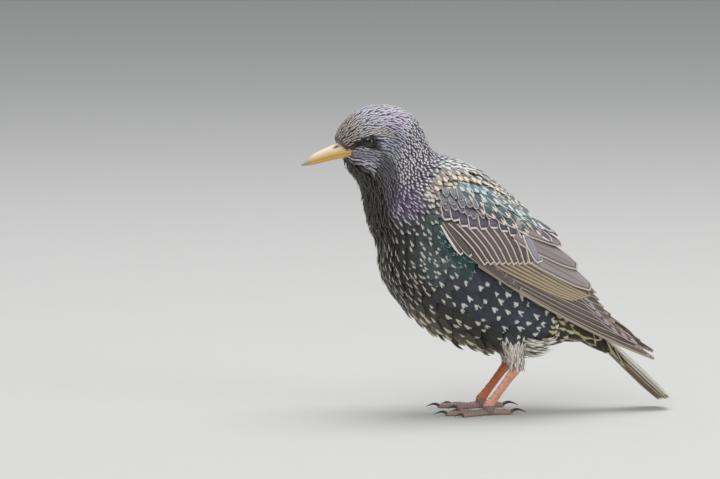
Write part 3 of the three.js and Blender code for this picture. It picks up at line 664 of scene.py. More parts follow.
# Roots are spread evenly: of many places thrown over the surface, taken from the head to the tail, each keeps
# clear of those before it by the coat's pitch there
def scatterRoots(surface, pRange, qRange, pitchAt, tries, seed):
    own = np.random.default_rng(seed)
    p, q = own.uniform(*pRange, tries), own.uniform(*qRange, tries)
    dp, dq, _ = frameAt(surface, p, q, 1)
    pitch = pitchAt(p, q)
    need = np.linalg.norm(np.cross(dp, dq), axis=-1) / pitch ** 2
    keep = own.random(tries) < need / np.quantile(need, 0.995)
    order = np.flatnonzero(keep)[np.argsort(p[keep])]
    p, q, pitch = p[order], q[order], pitch[order]
    places = surface(p, q).tolist()
    tree = treeOf(places)
    alive = np.ones(len(p), bool)
    taken = []
    for i, place in enumerate(places):
        if alive[i]:
            taken.append(i)
            for _, j, _ in tree.find_range(place, pitch[i]):
                alive[j] = False
    return p[taken], q[taken]


def runAlong(points, pitch):  # the distance along a line of places in pitches, from 0
    return np.concatenate([[0], np.cumsum(np.linalg.norm(np.diff(points, axis=0), axis=1) / pitch)])


trunkRows = {"side": 2.0, "first": 0.3, "jitter": 0.09}


# On the trunk they stand in rings at even distances on its side, every other ring set half a place on
def rowRoots(low, high, pitchAt, stepAt, seed):
    own = np.random.default_rng(seed)
    line = np.linspace(low, high, 400)
    beside = np.full(400, trunkRows["side"])
    count = runAlong(bodyPoint(line, beside), stepAt(line[1:], beside[1:]))
    s, a = [], []
    for k, ring in enumerate(np.interp(np.arange(trunkRows["first"], count[-1]), count, line)):
        angle, at = np.linspace(0, math.pi, 300), np.full(300, ring)
        run = runAlong(bodyPoint(at, angle), pitchAt(at[1:], angle[1:]))
        first = (np.interp(trunkRows["side"], angle, run) + 0.5 * (k % 2)) % 1
        half = np.interp(np.arange(first, run[-1]), run, angle)
        s.append(np.full(2 * len(half), ring))
        a.append(np.concatenate([half, -half]))
    s, a = np.concatenate(s), np.concatenate(a)
    dp, dq, _ = frameAt(bodyPoint, s, a, -1)
    loose = own.normal(0, trunkRows["jitter"], (2, len(s))) * pitchAt(s, a)
    return s + loose[0] / np.linalg.norm(dp, axis=1), a + loose[1] / np.linalg.norm(dq, axis=1)


eye = {"section": 3.83, "angle": 1.46, "radius": 3.3, "sunk": 2.3, "rim": 2.9, "near": 14}


def eyePlace(side):  # the ball's centre and the way it looks; side 1 is the left eye
    s, a = np.array([eye["section"]]), np.array([side * eye["angle"]])
    normal = frameAt(bodyPoint, s, a, -1)[2]
    return (bodyPoint(s, a) - normal * eye["sunk"])[0], normal[0]


def overWrist(points):  # places along and over the wrist line, as seen from the side
    x, z = points[..., 0] - wing["wrist"][0], points[..., 2] - wing["wrist"][1]
    return x * wingAlong[0] + z * wingAlong[1], -x * wingAlong[1] + z * wingAlong[0]


# The folded wing's coverts and secondaries, which hide the body's feathers under them from start to end,
# v between low and top at u
folded = {"start": 2, "end": 50, "topAt": (2, 8, 20, 30, 46), "top": (9.5, 11.5, 13.5, 14.5, 16.0),
          "lowAt": (0, 6, 20, 45), "low": (2.0, -1.5, -3.5, -3.5)}


def underWing(points):
    u, v = overWrist(points)
    top, low = np.interp(u, folded["topAt"], folded["top"]), np.interp(u, folded["lowAt"], folded["low"])
    return (u > folded["start"]) & (u < folded["end"]) & (v > low) & (v < top)


coat = {
    "tries": 200000, "first": 0.15, "rows": 12.2, "last": 23.4, "tailEnd": 24.2, "lift": 0.2, "camber": 0.14,
    # how high feathers ride over the wing's upper edge, and between which places of the wrist line
    "scapularRise": 1.2, "rideTop": 28, "rideLow": 6, "rideFront": -14, "rideEnd": 60,
}


# Feathers that would run over an eye stop at its lids, and those that root there are left out
def clearOfEyes(root, heading, wear):
    keep = np.ones(len(root), bool)
    for side in (1, -1):
        to = eyePlace(side)[0] - root
        ahead = dot(to, heading)[:, 0]
        apart, near = np.linalg.norm(to - heading * ahead[:, None], axis=1), np.linalg.norm(to, axis=1)
        flat = np.sqrt(np.maximum(apart ** 2 - eye["sunk"] ** 2, 0))
        room = ahead - np.sqrt(np.maximum(eye["rim"] ** 2 - flat ** 2, 0))
        blocked = (flat < eye["rim"]) & (ahead > 0) & (near < eye["near"])
        wear["length"] = np.where(blocked, np.minimum(wear["length"], np.maximum(room, 0.5)), wear["length"])
        wear["half"] = np.where(blocked, np.minimum(wear["half"], 0.5 + room * 0.3), wear["half"])
        keep &= np.sqrt(np.maximum(near ** 2 - eye["sunk"] ** 2, 0)) > eye["rim"]
    return keep


def makeCoat():
    pitchAt = lambda s, a: wornAt(s, a)["pitch"]
    stepAt = lambda s, a: pitchAt(s, a) * wornAt(s, a)["step"]
    reach = (coat["first"], coat["rows"])
    loose = scatterRoots(bodyPoint, reach, (-math.pi, math.pi), pitchAt, coat["tries"], 5)
    rows = rowRoots(coat["rows"] + 0.1, coat["last"], pitchAt, stepAt, 6)
    s, a = (np.concatenate(pair) for pair in zip(loose, rows))
    wear = wornAt(s, a)
    n = len(s)
    own = np.random.default_rng(23)
    wear["length"] = wear["pitch"] * wear["long"] * own.uniform(0.88, 1.12, n)
    wear["half"] = wear["pitch"] * wear["broad"] * own.uniform(0.92, 1.08, n)
    wear["turn"] = own.normal(0, 1, n) * wear["unruly"] - np.sign(wrapped(a)) * wear["sweep"]
    lift = own.normal(coat["lift"], 0.06, n) * wear["deep"] / 2
    wear["tip"] = wear["rise"] + lift + np.abs(own.normal(0, 1, n)) * wear["ruffle"]
    root = bodyPoint(s, a)
    room = 0.97 * np.linalg.norm(bodyPoint(coat["tailEnd"] + 0 * s, a) - root, axis=1)
    wear["length"] = np.where(s > 18, np.minimum(wear["length"], room), wear["length"])
    wear["camber"] = coat["camber"] * wear["half"]
    wear["size"] = wear["size"] * own.uniform(0.8, 1.2, n)
    wear["width"] = wear["width"] * own.uniform(0.85, 1.15, n)
    wear["ground"] = wear["ground"] * own.uniform(0.9, 1.1, (n, 1))
    dp, _, normal = frameAt(bodyPoint, s, a, -1)
    heading = headingAt(dp, normal, wear["turn"])
    keep = clearOfEyes(root, heading, wear)
    tipPlace = root + heading * wear["length"][:, None]
    u, v = overWrist(tipPlace)  # scapulars ride up over the wing's upper edge
    over = coat["scapularRise"] * ease((coat["rideTop"] - v) / 12) * ease((v - coat["rideLow"]) / 5)
    over = over * ease((u - coat["rideFront"]) / 12) * ease((coat["rideEnd"] - u) / 10)
    wear["tip"] = wear["tip"] + over
    keep &= ~(underWing(tipPlace) & underWing(root + heading * 0.4 * wear["length"][:, None]))
    side = np.abs(wrapped(a))
    neck, front, trunk = s < 9.4, s < 12.2, (s >= 12.2) & (side >= 1.3)
    throat = front & (side >= 2.3) | ~neck & front & (side > 1.5)
    for name, pattern, chosen, look, slot in [
            ("head_feathers", "small", neck & (side < 2.3), headPlumage, "crown_plumage"),
            ("throat_hackles", "hackle", throat, bodyPlumage, "throat_plumage"),
            ("mantle_feathers", "small", ~neck & front & (side <= 1.5), bodyPlumage, "body_plumage"),
            ("back_feathers", "contour", ~front & (side < 1.3), bodyPlumage, "body_plumage"),
            ("breast_feathers", "contour", trunk & (s < 15.5), bodyPlumage, "body_plumage"),
            ("flank_feathers", "contour", trunk & (s >= 15.5) & (s < 20.2), bodyPlumage, "body_plumage"),
            ("vent_feathers", "covert", trunk & (s >= 20.2), bodyPlumage, "body_plumage")]:
        chosen = chosen & keep
        sub = {key: values[chosen] for key, values in wear.items()}
        p, q = s[chosen], a[chosen]
        unwrap = stacked(wrapped(q) / (2 * math.pi) + 0.5, (p - p.min()) / (p.max() - p.min()))
        layFeathers(name, pattern, bodyPoint, -1, p, q, sub, unwrap, look)


makeCoat()


def evenWear(n, own, **values):  # the same wear for every feather of a set, varied a little
    wear = usualWear((n,))
    for key, value in values.items():
        shape = (n, 3) if key in ("ground", "mark") else (n,)
        wear[key] = np.broadcast_to(np.asarray(value, float), shape).copy()
    wear["length"] = wear["length"] * own.uniform(0.85, 1.15, n)
    wear["turn"] = own.normal(0, 0.12, n)
    wear["tip"] = wear["tip"] + own.normal(0.1, 0.1, n)
    wear["camber"] = coat["camber"] * wear["half"]
    wear["ground"] = wear["ground"] * own.uniform(0.88, 1.12, (n, 1))
    return wear


# The legs' feathers: short pale ones down to the ankle, and round the hip larger ones like the flank's.
# reach is down the thigh, mapFrom where the set starts in the map; two numbers for a tip are mean and spread
thighSets = [
    {"name": "tibia_feathers_", "pattern": "hackle", "reach": (0.14, 0.84), "pitch": 1.15, "tries": 5000,
     "seed": 50, "mapFrom": 0.0, "tip": (0.35, 0.25),
     "worn": dict(length=5.5, half=0.85, ground=(172, 164, 154), mark=(234, 229, 220), gloss=0.0, size=0.5,
                  width=0.5, power=0.5, deep=0.9)},
    {"name": "thigh_feathers_", "pattern": "contour", "reach": (-0.1, 0.14), "pitch": 3.8, "tries": 1500,
     "seed": 60, "mapFrom": 0.1, "tip": 0.5,
     "worn": dict(length=8.5, half=2.7, ground=(58, 58, 62), mark=(220, 218, 210), gloss=0.2, size=0.28,
                  width=0.4, power=0.85, deep=1.2)},
]
sides = (("left", -1), ("right", 1))


def makeThighFeathers():
    for word, side in sides:
        surface = thighSurface(side)
        own = np.random.default_rng(40 + side)
        for each in thighSets:
            pitchAt = lambda t, q: np.full(len(t), each["pitch"])
            t, q = scatterRoots(surface, each["reach"], (-math.pi, math.pi), pitchAt, each["tries"],
                                each["seed"] + side)
            tip = own.normal(*each["tip"], len(t)) if np.ndim(each["tip"]) else each["tip"]
            wear = evenWear(len(t), own, tip=tip, **each["worn"])
            unwrap = stacked(wrapped(q) / (2 * math.pi) + 0.5, t + each["mapFrom"])
            layFeathers(each["name"] + word, each["pattern"], surface, 1, t, q, wear, unwrap, bodyPlumage)


makeThighFeathers()

ventTuft = {
    "count": 84, "s": (19.0, 19.9), "a": (2.2, 2.85), "tip": (0.6, 2.6), "hang": 2.4, "hangOver": 0.4,
    "worn": dict(length=10.0, half=1.0, ground=(186, 179, 166), mark=(252, 251, 247), gloss=0.0, size=0.36,
                 width=0.75, power=0.5, deep=1.6, tip=0.0),
}


def makeVentTuft():  # loose white-tipped feathers that hang off behind the thighs
    own = np.random.default_rng(91)
    n = ventTuft["count"]
    s = own.uniform(*ventTuft["s"], n)
    a = own.uniform(*ventTuft["a"], n) * np.where(np.arange(n) % 2, 1, -1)
    wear = evenWear(n, own, **ventTuft["worn"])
    hang = ease((np.abs(a) - ventTuft["a"][0]) / ventTuft["hangOver"])
    wear["tip"] = own.uniform(*ventTuft["tip"], n) + ventTuft["hang"] * hang
    unwrap = stacked(a / (2 * math.pi) + 0.5, (s - 18.5) / 1.5)
    layFeathers("vent_tuft", "hackle", bodyPoint, -1, s, a, wear, unwrap, bodyPlumage)


makeVentTuft()

# Mantle and scapulars lie in rows over the root of the folded wing. Each row's tips are places along and over
# the wrist line
usualScapular = dict(length=15.0, half=2.3, width=0.45, fringeSide=0.14)
scapulars = [
    dict(tip=1.5, mark=(206, 202, 192), ground=(126, 127, 134), size=0.3, length=12,
         tips=[(16.6, 25.6), (21, 25.8), (25.4, 25.4), (29.8, 24.8), (34, 24.2), (38, 23.6)]),
    dict(tip=2.0, mark=(206, 214, 210), ground=(112, 121, 126), size=0.3, length=13,
         tips=[(7.2, 21.8), (12.2, 21.9), (18.1, 21.9), (24, 22.2), (28.4, 22.2), (32.8, 22.4), (37, 22.2)]),
    dict(tip=2.5, mark=(210, 218, 214), ground=(90, 106, 108), size=0.3,
         tips=[(2.8, 18.2), (8.6, 18.8), (14.4, 19.6), (22.1, 19.9), (26.1, 20.6), (29.9, 19.6), (36.1, 20.6),
               (39.9, 20.4)]),
    dict(tip=2.9, mark=(222, 212, 200), ground=(82, 98, 100), size=0.22, width=0.34,
         tips=[(3.4, 16.4), (8.6, 16), (14.4, 17), (22, 18), (33, 18.4), (38.9, 18.2)]),
    dict(tip=3.2, mark=(226, 212, 198), ground=(76, 88, 90), size=0.2, width=0.3,
         tips=[(5.6, 13.9), (10.4, 14.3), (15.4, 14.4), (20.4, 14.7), (26.5, 15.2), (32.5, 15.9)]),
    dict(tip=3.6, mark=(212, 204, 202), ground=(96, 90, 106), fringeSide=0.3, size=0.06, half=3.0,
         tips=[(44.3, 21.4), (47.6, 20), (45.4, 17.6)]),
    dict(tip=2.6, mark=(200, 216, 214), ground=(100, 124, 128), size=0.36, half=1.8, length=9, width=0.55,
         tips=[(-3, 18), (0.2, 19.2), (3.4, 20.4), (6.6, 21.2)]),
    dict(tip=2.5, mark=(232, 220, 198), ground=(124, 117, 108), size=0.4, half=1.6, length=8, width=0.6,
         tips=[(-13, 12.4), (-13, 15.2), (-11.4, 18.4), (-8.6, 20.4), (-5.8, 21.8), (-3, 22.8), (0, 23.6),
               (3, 24.4), (6, 25.2), (9, 25.6), (12, 25.8), (15, 25.6)]),
    dict(tip=2.6, mark=(216, 208, 198), ground=(112, 110, 114), size=0.4, half=1.5, length=8, width=0.5,
         tips=[(-11, 21.4), (-7.6, 23.4), (-4.4, 25), (-1, 26.4), (2.4, 27.2), (6, 27.8), (9.6, 28.2),
               (13.4, 28.4), (17, 28)]),
]
scapularLean = 0.42


def makeScapulars():
    every = [dict(usualScapular, **dict(row, tips=tip)) for row in scapulars for tip in row["tips"]]
    each = lambda key: np.array([feather[key] for feather in every], float)
    n, tips, length = len(every), each("tips"), each("length")
    u = tips[:, 0] - length * math.cos(scapularLean)
    q = seen(u, tips[:, 1] + length * math.sin(scapularLean))
    keys = ("length", "half", "ground", "mark", "size", "width", "fringeSide", "tip")
    values = {key: each(key) for key in keys}
    for word, side in sides:
        own = np.random.default_rng(70 + side)
        wear = evenWear(n, own, gloss=0.28, power=0.5, fringeTip=0.03, deep=1.0, **values)
        wear["length"] = length
        wear["turn"] = scapularLean * side + own.normal(0, 0.05, n)
        wear["tip"] = each("tip") + own.normal(0, 0.1, n)
        unwrap = stacked((u + 20) / 60, (q + 5) / 50)
        layFeathers("scapulars_" + word, "contour", wingSurface(side), -side, u, q, wear, unwrap, bodyPlumage)


makeScapulars()

# The skin: the body's surface and both thighs, drawn in by the coat's depth, made one closed surface
skin = {
    "end": 24, "under": 0.35, "cell": 0.9, "thighDepth": 0.9, "relax": (0.5, 6),
    # leg's bare-looking down: its colour, from where it starts, over how much, and its reach round the leg
    "low": (150, 142, 134), "lowFrom": 31, "lowOver": 6, "legX": 14, "legReach": 12, "shade": 0.8,
}


def skinDraft():  # points and faces of the body and the thighs, still apart
    s, a = np.broadcast_arrays(column(0, skin["end"], 200), circle(96, -math.pi))
    parts = [closedEnds(bodyPoint(s, a, -(wornAt(s, a)["deep"] + skin["under"])))]
    for _, side in sides:
        rings = thighSurface(side)(column(-0.25, 1.02, 30), circle(40, -math.pi), -skin["thighDepth"])
        parts.append(closedEnds(rings))
    faces, start = [], 0
    for part in parts:
        faces.append(gridFaces(*part.shape[:2], True)[:, ::-1] + start)
        start += part.shape[0] * part.shape[1]
    return np.concatenate([part.reshape(-1, 3) for part in parts]), np.concatenate(faces)


def skinLook():
    look = Look("bird_skin", Roughness=0.6, Specular_IOR_Level=0.3)
    grain = look.noise(900.0)
    tone = grain * 0.4 + 0.7
    colour = look.mix(1.0, look.attribute("ground"), look.vector(tone, tone, tone), "MULTIPLY")
    return look.feed(Base_Color=colour, Roughness=grain * 0.3 + 0.5, Normal=look.bump(grain, 0.0002))


def skinColours(found):  # what the coat wears at the nearest place of the body, with its markings mixed in
    gs, ga = np.meshgrid(np.linspace(0, skin["end"], 160), circle(120, -math.pi)[0], indexing="ij")
    tree = treeOf(bodyPoint(gs, ga, -2.0).reshape(-1, 3).tolist())
    nearest = np.array([tree.find(place)[1] for place in found.tolist()])
    s = gs.ravel()[nearest]
    worn = wornAt(s, ga.ravel()[nearest])
    share = (worn["size"] * worn["width"] * 0.6 + worn["fringeSide"] + 0.3 * ease((1.4 - s) / 0.8))[:, None]
    colour = linear(worn["ground"]) * (1 - share) + linear(worn["mark"]) * share
    low = ease((skin["lowFrom"] - found[:, 2]) / skin["lowOver"])[:, None]
    low = low * (np.abs(found[:, 0] - skin["legX"]) < skin["legReach"])[:, None]
    colour = colour * (1 - low) + linear(skin["low"]) * low
    return np.concatenate([colour * skin["shade"], np.ones((len(colour), 1))], 1)


def foldedRoundEyes(found):  # the orbit's hollow and the folds of bare skin round each eye
    for side in (1, -1):
        centre, normal = eyePlace(side)
        rel = found - centre
        flat = np.linalg.norm(rel - normal * (rel @ normal)[:, None], axis=1)
        near = (rel @ normal > 0) & (flat < 9)
        pull = -0.5 * bell(flat - 3.0, 1.6) + 0.12 * np.cos(flat * 5.2) * bell(flat - 3.6, 1.2)
        found = found + np.where(near, pull, 0)[:, None] * normal
    return found


def makeSkin():
    points, faces = skinDraft()
    finish = skinLook()
    draft = addObject("skin_draft", makeMesh("skin_draft", points + centring, faces, finish))
    cells = draft.modifiers.new("cells", "REMESH")
    cells.mode = "VOXEL"
    cells.voxel_size = skin["cell"] * 0.001
    relax = draft.modifiers.new("relax", "SMOOTH")
    relax.factor, relax.iterations = skin["relax"]
    mesh = bpy.data.meshes.new_from_object(draft.evaluated_get(bpy.context.evaluated_depsgraph_get()))
    bpy.data.objects.remove(draft)
    mesh.name = "skin"
    found = np.zeros(len(mesh.vertices) * 3)
    mesh.vertices.foreach_get("co", found)
    found = found.reshape(-1, 3) * 1000 - centring
    addLayer(mesh, "ground", skinColours(found))
    mesh.vertices.foreach_set("co", ((foldedRoundEyes(found) + centring) * 0.001).ravel())
    mesh.polygons.foreach_set("use_smooth", np.ones(len(mesh.polygons), bool))
    mesh.materials.clear()
    mesh.materials.append(finish)
    declare("skin", mesh, ("head", "neck", "torso", "thigh_left", "thigh_right"))
    print("skin", len(mesh.polygons), "faces")


makeSkin()

# Large vanes: rows of points along, columns across; bend, tilt, sink and ridge shape the blade, and rims are
# shares of the fringe for the web outside and inside the shaft
vaneRows, vaneColumns = 15, 9
usualVane = dict(bend=0.0, tilt=0.0, sink=0.0, ridge=0.3, size=0.1, width=0.02, power=1.0, gloss=0.0,
                 fringe=0.7, outerRim=1.0, innerRim=0.5, tipFringe=1.0)
vaneShapes = {
    "rounded": [0.6, 0.85, 1.0, 1.0, 0.95, 0.8, 0.4], "short": [0.6, 0.85, 1.0, 1.0, 0.9, 0.4],
    "square": [0.6, 0.85, 1.0, 1.0, 1.0, 0.7], "pointed": [0.7, 0.9, 1.0, 1.0, 0.9, 0.66, 0.2],
    "blunt": [0.6, 0.85, 1.0, 1.0, 1.0, 0.9, 0.5], "tail": [0.5, 0.75, 0.9, 1.0, 1.0, 0.95, 0.55],
    "covert": [0.7, 0.9, 1.0, 0.95, 0.75, 0.3],
}


def bladeFaces(one):  # a ring per row, closed at both ends, its faces turned outwards
    rows, count = one.shape[:2]
    caps = np.array([[k, k + 1, count - 2 - k, count - 1 - k] for k in range(count // 2 - 1)])
    closed = np.concatenate([gridFaces(rows, count, True), caps[:, ::-1], caps + (rows - 1) * count])
    flat = one.reshape(-1, 3)
    quad = flat[closed] - flat.mean(0)
    volume = sum((quad[:, 0] * np.cross(quad[:, k], quad[:, k + 1])).sum() for k in (1, 2))
    return closed[:, ::-1] if volume < 0 else closed


# Large vanes on a sheet: each is a closed thin blade whose shaft runs from one place to another
def layVanes(name, surface, outward, vanes, look, node):
    t, c = 1 - (1 - column(0, 1, vaneRows)) ** 1.35, np.linspace(-1, 1, vaneColumns)
    n, vanes = len(vanes), [dict(usualVane, **vane) for vane in vanes]
    plain = lambda key: np.array([vane[key] for vane in vanes], float)
    get = lambda key: plain(key)[:, None, None]
    start = plain("start")
    run = plain("end") - start
    length = np.linalg.norm(run, axis=1)
    aside = np.stack([-run[:, 1], run[:, 0]], 1) / length[:, None]
    shapes = [vaneShapes[vane["shape"]] for vane in vanes]
    outline = np.stack([through(shape, t[:, 0] * (len(shape) - 1)) for shape in shapes])[:, :, None]
    low, high = get("low"), get("high")
    liftEnd = np.array([vane.get("liftEnd", vane["lift"]) for vane in vanes], float)[:, None, None]
    own = np.random.default_rng(n * 7 + vaneRows)
    luck = own.random(n)[:, None, None]
    web = np.where(c < 0, low * c, high * c) * outline
    arc = get("bend") * 4 * t * (1 - t)
    fray = own.normal(0, 0.16, (n, vaneColumns))[:, None] * ease((t - 0.7) / 0.3)
    u, q = (start[:, k, None, None] + run[:, k, None, None] * t + aside[:, k, None, None] * (arc + web)
            for k in (0, 1))
    u = u + fray
    height = blendIn(get("lift"), liftEnd, t) - get("tilt") * web
    height = height + get("ridge") * (1 - c ** 2) - get("sink") * (1 - t) ** 2
    rib = 0.12 * bell(c, 0.12) * (1 - t)
    thick = 0.34 * (1 - 0.5 * t) * (1 - 0.6 * np.abs(c) ** 3)
    base, normal = surface(u, q), frameAt(surface, u, q, outward)[2]
    outer = base + normal * (height + rib)[..., None]
    inner = base + normal * (height - thick)[..., None]
    points = np.concatenate([outer, inner[:, :, ::-1]], 2)
    closed = bladeFaces(points[0])
    # the outer web (c under 0) takes the rim's full width, the inner web a share of it; a vane may have its
    # own colour below, without a rim
    both = np.concatenate([c, c[::-1]])
    across, count = np.abs(both), len(both)
    rim = get("fringe") * np.where(both < 0, get("outerRim"), get("innerRim")) / np.where(both < 0, low, high)
    hasUnder = np.array(["under" in vane for vane in vanes])[:, None, None]
    below = (np.arange(count) >= vaneColumns) & (both < 0.02) & hasUnder
    rim = np.where(below, 0.01, np.clip(rim, 0.01, 0.95))
    tipRim = np.clip(plain("tipFringe") / length, 0.004, 0.9)[:, None, None]
    inward = (1 - across) * outline
    gloss, under = plain("gloss"), [vane.get("under", vane["ground"]) for vane in vanes]
    ground = np.where(below[..., None], withAlpha(under, gloss), withAlpha(plain("ground"), gloss))
    layers = {
        "vane": stacked(t, across, across * outline, luck),
        "form": stacked(get("size"), get("width"), get("power"), luck),
        "rim": stacked(rim, tipRim, inward, inward),
        "ground": ground,
        "mark": withAlpha(plain("mark"), 1.0),
    }
    # every vane has its own strip of the map, seen flat
    per = math.ceil(math.sqrt(n))
    i = np.arange(n)[:, None, None]
    strip = stacked(i % per + 0.04 + 0.92 * (closed % count) / (count - 1),
                    i // per + 0.04 + 0.92 * t[closed // count, 0])
    faces = copies(closed, n, vaneRows * count)
    addPiece(name, points, faces, look, (node,), layers, strip * (1.0 / per))
    print(name, n, "vanes", 2 * len(faces), "triangles")


vaneColours = {
    "primary": dict(ground=(108, 98, 92), mark=(180, 167, 150)),
    "drop": dict(ground=(112, 101, 98), mark=(198, 189, 187)),
    "secondary": dict(ground=(136, 122, 104), mark=(188, 171, 142)),
    "tertial": dict(ground=(150, 141, 138), mark=(210, 200, 188)),
    "alula": dict(ground=(96, 87, 80), mark=(234, 230, 224)),
    "greater": dict(ground=(108, 98, 100), mark=(226, 208, 196)),
    "innermost": dict(ground=(160, 156, 170), mark=(234, 226, 220)),
    "median": dict(ground=(100, 95, 108), mark=(224, 214, 208)),
    "lesser": dict(ground=(130, 123, 134), mark=(188, 180, 182), gloss=0.06),
    "shoulder": dict(ground=(130, 131, 138), mark=(186, 184, 182), gloss=0.1),
    "tail": dict(ground=(128, 106, 76), mark=(216, 206, 176)),
    "rump": dict(ground=(100, 98, 88), mark=(200, 190, 162)),
}
tailWhite = (252, 250, 244)


def between(start, end, kind, **values):  # a vane from one place to another, along and over the wrist line
    ends = [(u, float(seen(u, v))) for u, v in (start, end)]
    return dict(vaneColours[kind], start=ends[0], end=ends[1], **values)


def endingAt(tips, back, stray, kind, **values):  # vanes that end at places, each root nearly as far back
    loose = np.random.default_rng(len(tips)).normal(0, stray, (len(tips), 4)).tolist()
    return [between((u + back[0] + i, v + back[1] + j), (u + k, v + m), kind, **values)
            for (u, v), (i, j, k, m) in zip(tips, loose)]


def wingVanes():
    # primaries, the longest first
    vanes = [between((20, -5.2 + 0.9 * i), (121.6 - 8 * i + 0.34 * i * i, 0.6 + 0.8 * i + 0.085 * i * i),
                     "primary", low=2.4, high=5.4, lift=0.5, tilt=0.2, bend=-1.2 + 0.45 * i, shape="pointed",
                     fringe=0.5 if i else 1.1, innerRim=0.2, tipFringe=1.2, size=0.05, width=0.5)
             for i in range(9)]
    # their pale inner tips: place and how far the root lies above it
    for u, v, rise in ((110, 2.2, 1.6), (104.4, 1.9, 2.4), (98.4, 1.7, 3.2), (92.6, 2.8, 3.6), (87, 4.0, 4.2),
                       (82.2, 5.4, 4.8), (77.4, 7.0, 5.4)):
        vanes += endingAt([(u, v)], (-19, rise), 0.0, "drop", low=1.8, high=1.8, lift=1.1, tilt=0.16,
                          sink=2.4, shape="pointed", fringe=0.42, innerRim=1.0, tipFringe=0.7, size=0.24,
                          width=0.4, power=0.4)
    # secondaries
    vanes += [between((20, -1.5 + 1.9 * i), (70 + 1.3 * i, 3.8 + 1.1 * i), "secondary", low=2.2, high=5.0,
                      lift=1.1, tilt=0.2, shape="rounded", fringe=0.9, innerRim=0.2, tipFringe=1.0)
              for i in range(6)]
    # tertials
    vanes += [between((30 - 2 * i, 9.5 + 4.2 * i), (75 - 11.6 * i, 12.2 + 4.6 * i), "tertial", low=4.2,
                      high=6.2, lift=1.9 + 0.3 * i, tilt=0.1, shape="blunt", fringe=0.8, innerRim=0.6,
                      tipFringe=0.9) for i in range(3)]
    # primary coverts
    vanes += [between((7, -3.6 + 0.9 * i), (44 - 5 * i, -5.6 + 0.9 * i), "primary", low=1.5, high=3.4,
                      lift=1.2, tilt=0.22, shape="short", fringe=0.4, tipFringe=0.6) for i in range(4)]
    # alula
    vanes += [between((-4.4, 0.6 + 1.8 * i), (10.4 + 4 * i, -6.3 + 1.6 * i), "alula", low=1.4, high=2.4,
                      lift=2.0, tilt=0.2, shape="short", fringe=1.25 - 1.0 * i, innerRim=0.1, tipFringe=0.8)
              for i in range(2)]
    # greater coverts, evenly between the first and the last
    vanes += [between((blendIn(-2, 27, i / 8), blendIn(3.6, 17.6, i / 8)),
                      (blendIn(22.7, 42, i / 8), blendIn(-3.4, 7.4, i / 8)), "greater", low=2.1, high=3.4,
                      lift=2.1, tilt=0.2, bend=1.5, shape="square", fringe=0.62, innerRim=0.3, tipFringe=0.7)
              for i in range(9)]
    vanes += endingAt([(44.9, 9.6)], (-13, 7), 0.0, "innermost", low=2.6, high=3.0, lift=2.5, tilt=0.1,
                      shape="blunt", fringe=0.6, innerRim=0.8, tipFringe=0.7)
    # medians
    vanes += endingAt([(-2.6, 4.0), (0.9, 5.4), (5.0, 5.3), (9.4, 6.5), (13.8, 8.9), (17.8, 11.4),
                       (22.6, 12.6), (27.6, 13.6)],
                      (-6, 7), 0.2, "median", low=2.5, high=2.5, lift=2.5, tilt=0.16, sink=2.2,
                      shape="square", fringe=0.5, innerRim=0.9, tipFringe=0.9)
    # lesser coverts over them, in two kinds
    vanes += endingAt([(-5.4, 7.4), (-2.2, 8.8), (1.0, 9.8), (4.4, 9.9), (7.8, 10.8), (11.2, 12.6),
                       (14.4, 14)],
                      (-5, 5.2), 0.45, "lesser", low=1.6, high=1.6, lift=2.7, tilt=0.18, sink=3.0,
                      shape="short", fringe=0.5, innerRim=0.7, tipFringe=0.7)
    vanes += endingAt([(-6.8, 9.2), (-3.6, 10.4), (-0.4, 11.8), (2.8, 13.2), (6, 14.6), (-8, 12.2),
                       (-4.8, 13.6), (-1.6, 15)],
                      (-5, 4.6), 0.5, "shoulder", low=1.5, high=1.5, lift=3.2, tilt=0.18,
                      sink=3.0, shape="short", fringe=0.45, innerRim=0.7, tipFringe=0.6)
    return vanes


for word, side in sides:
    layVanes("wing_feathers_" + word, wingSurface(side), -side, wingVanes(), vanePlumage,
             "wing_" + word)


def tailVanes():
    vanes = []
    for i in range(tail["feathers"]):
        spot = i - (tail["feathers"] - 1) / 2
        rank, left = abs(spot), spot < 0
        last = rank > 5
        # the outermost on the left shows its white underside
        shown = last and left
        near, far = (6.2, 2.7) if shown else (4.2, 4.4) if last else (2.6, 5.2)
        vanes.append(dict(
            vaneColours["tail"], start=(9, 0.7 * spot),
            end=(tailLength - 0.6 - 0.1 * rank, 0.95 * spot + (1.7 if shown else 0)), shape="tail",
            low=near if left else far, high=far if left else near, lift=0.4 - 0.42 * rank,
            liftEnd=0.2 - 0.24 * rank, fringe=0.9, outerRim=1.0 if last or left else 0.6, innerRim=1.0,
            tipFringe=0.9, tilt=0.34 if shown else 0.0, ridge=0.2, **({"under": tailWhite} if shown else {})))
    for i in (-2, -1, 0, 1, 2):  # upper tail coverts
        vanes.append(dict(
            vaneColours["rump"], start=(-2, 1.2 * i), end=(30 - 3 * abs(i), 3.0 * i), shape="covert", low=3.0,
            high=3.0, lift=3.4 - 0.5 * abs(i), liftEnd=1.2 - 0.3 * abs(i), fringe=0.6, innerRim=1,
            tipFringe=0.9))
    return vanes


layVanes("tail_feathers", tailSurface, 1, tailVanes(), vanePlumage, "tail")

undertail = {
    "rows": ((-5, (-5, 0, 5)), (3, (-3, 3)), (11, (-5, 0, 5)), (18, (-2.6, 2.6))), "tip": 3.6,
    "worn": dict(length=20.0, half=4.0, ground=(46, 39, 24), mark=(200, 192, 156), gloss=0.02, size=0.03,
                 width=0.3, power=0.8, fringeSide=0.4, fringeTip=0.06, deep=3.0, tip=0.0),
}


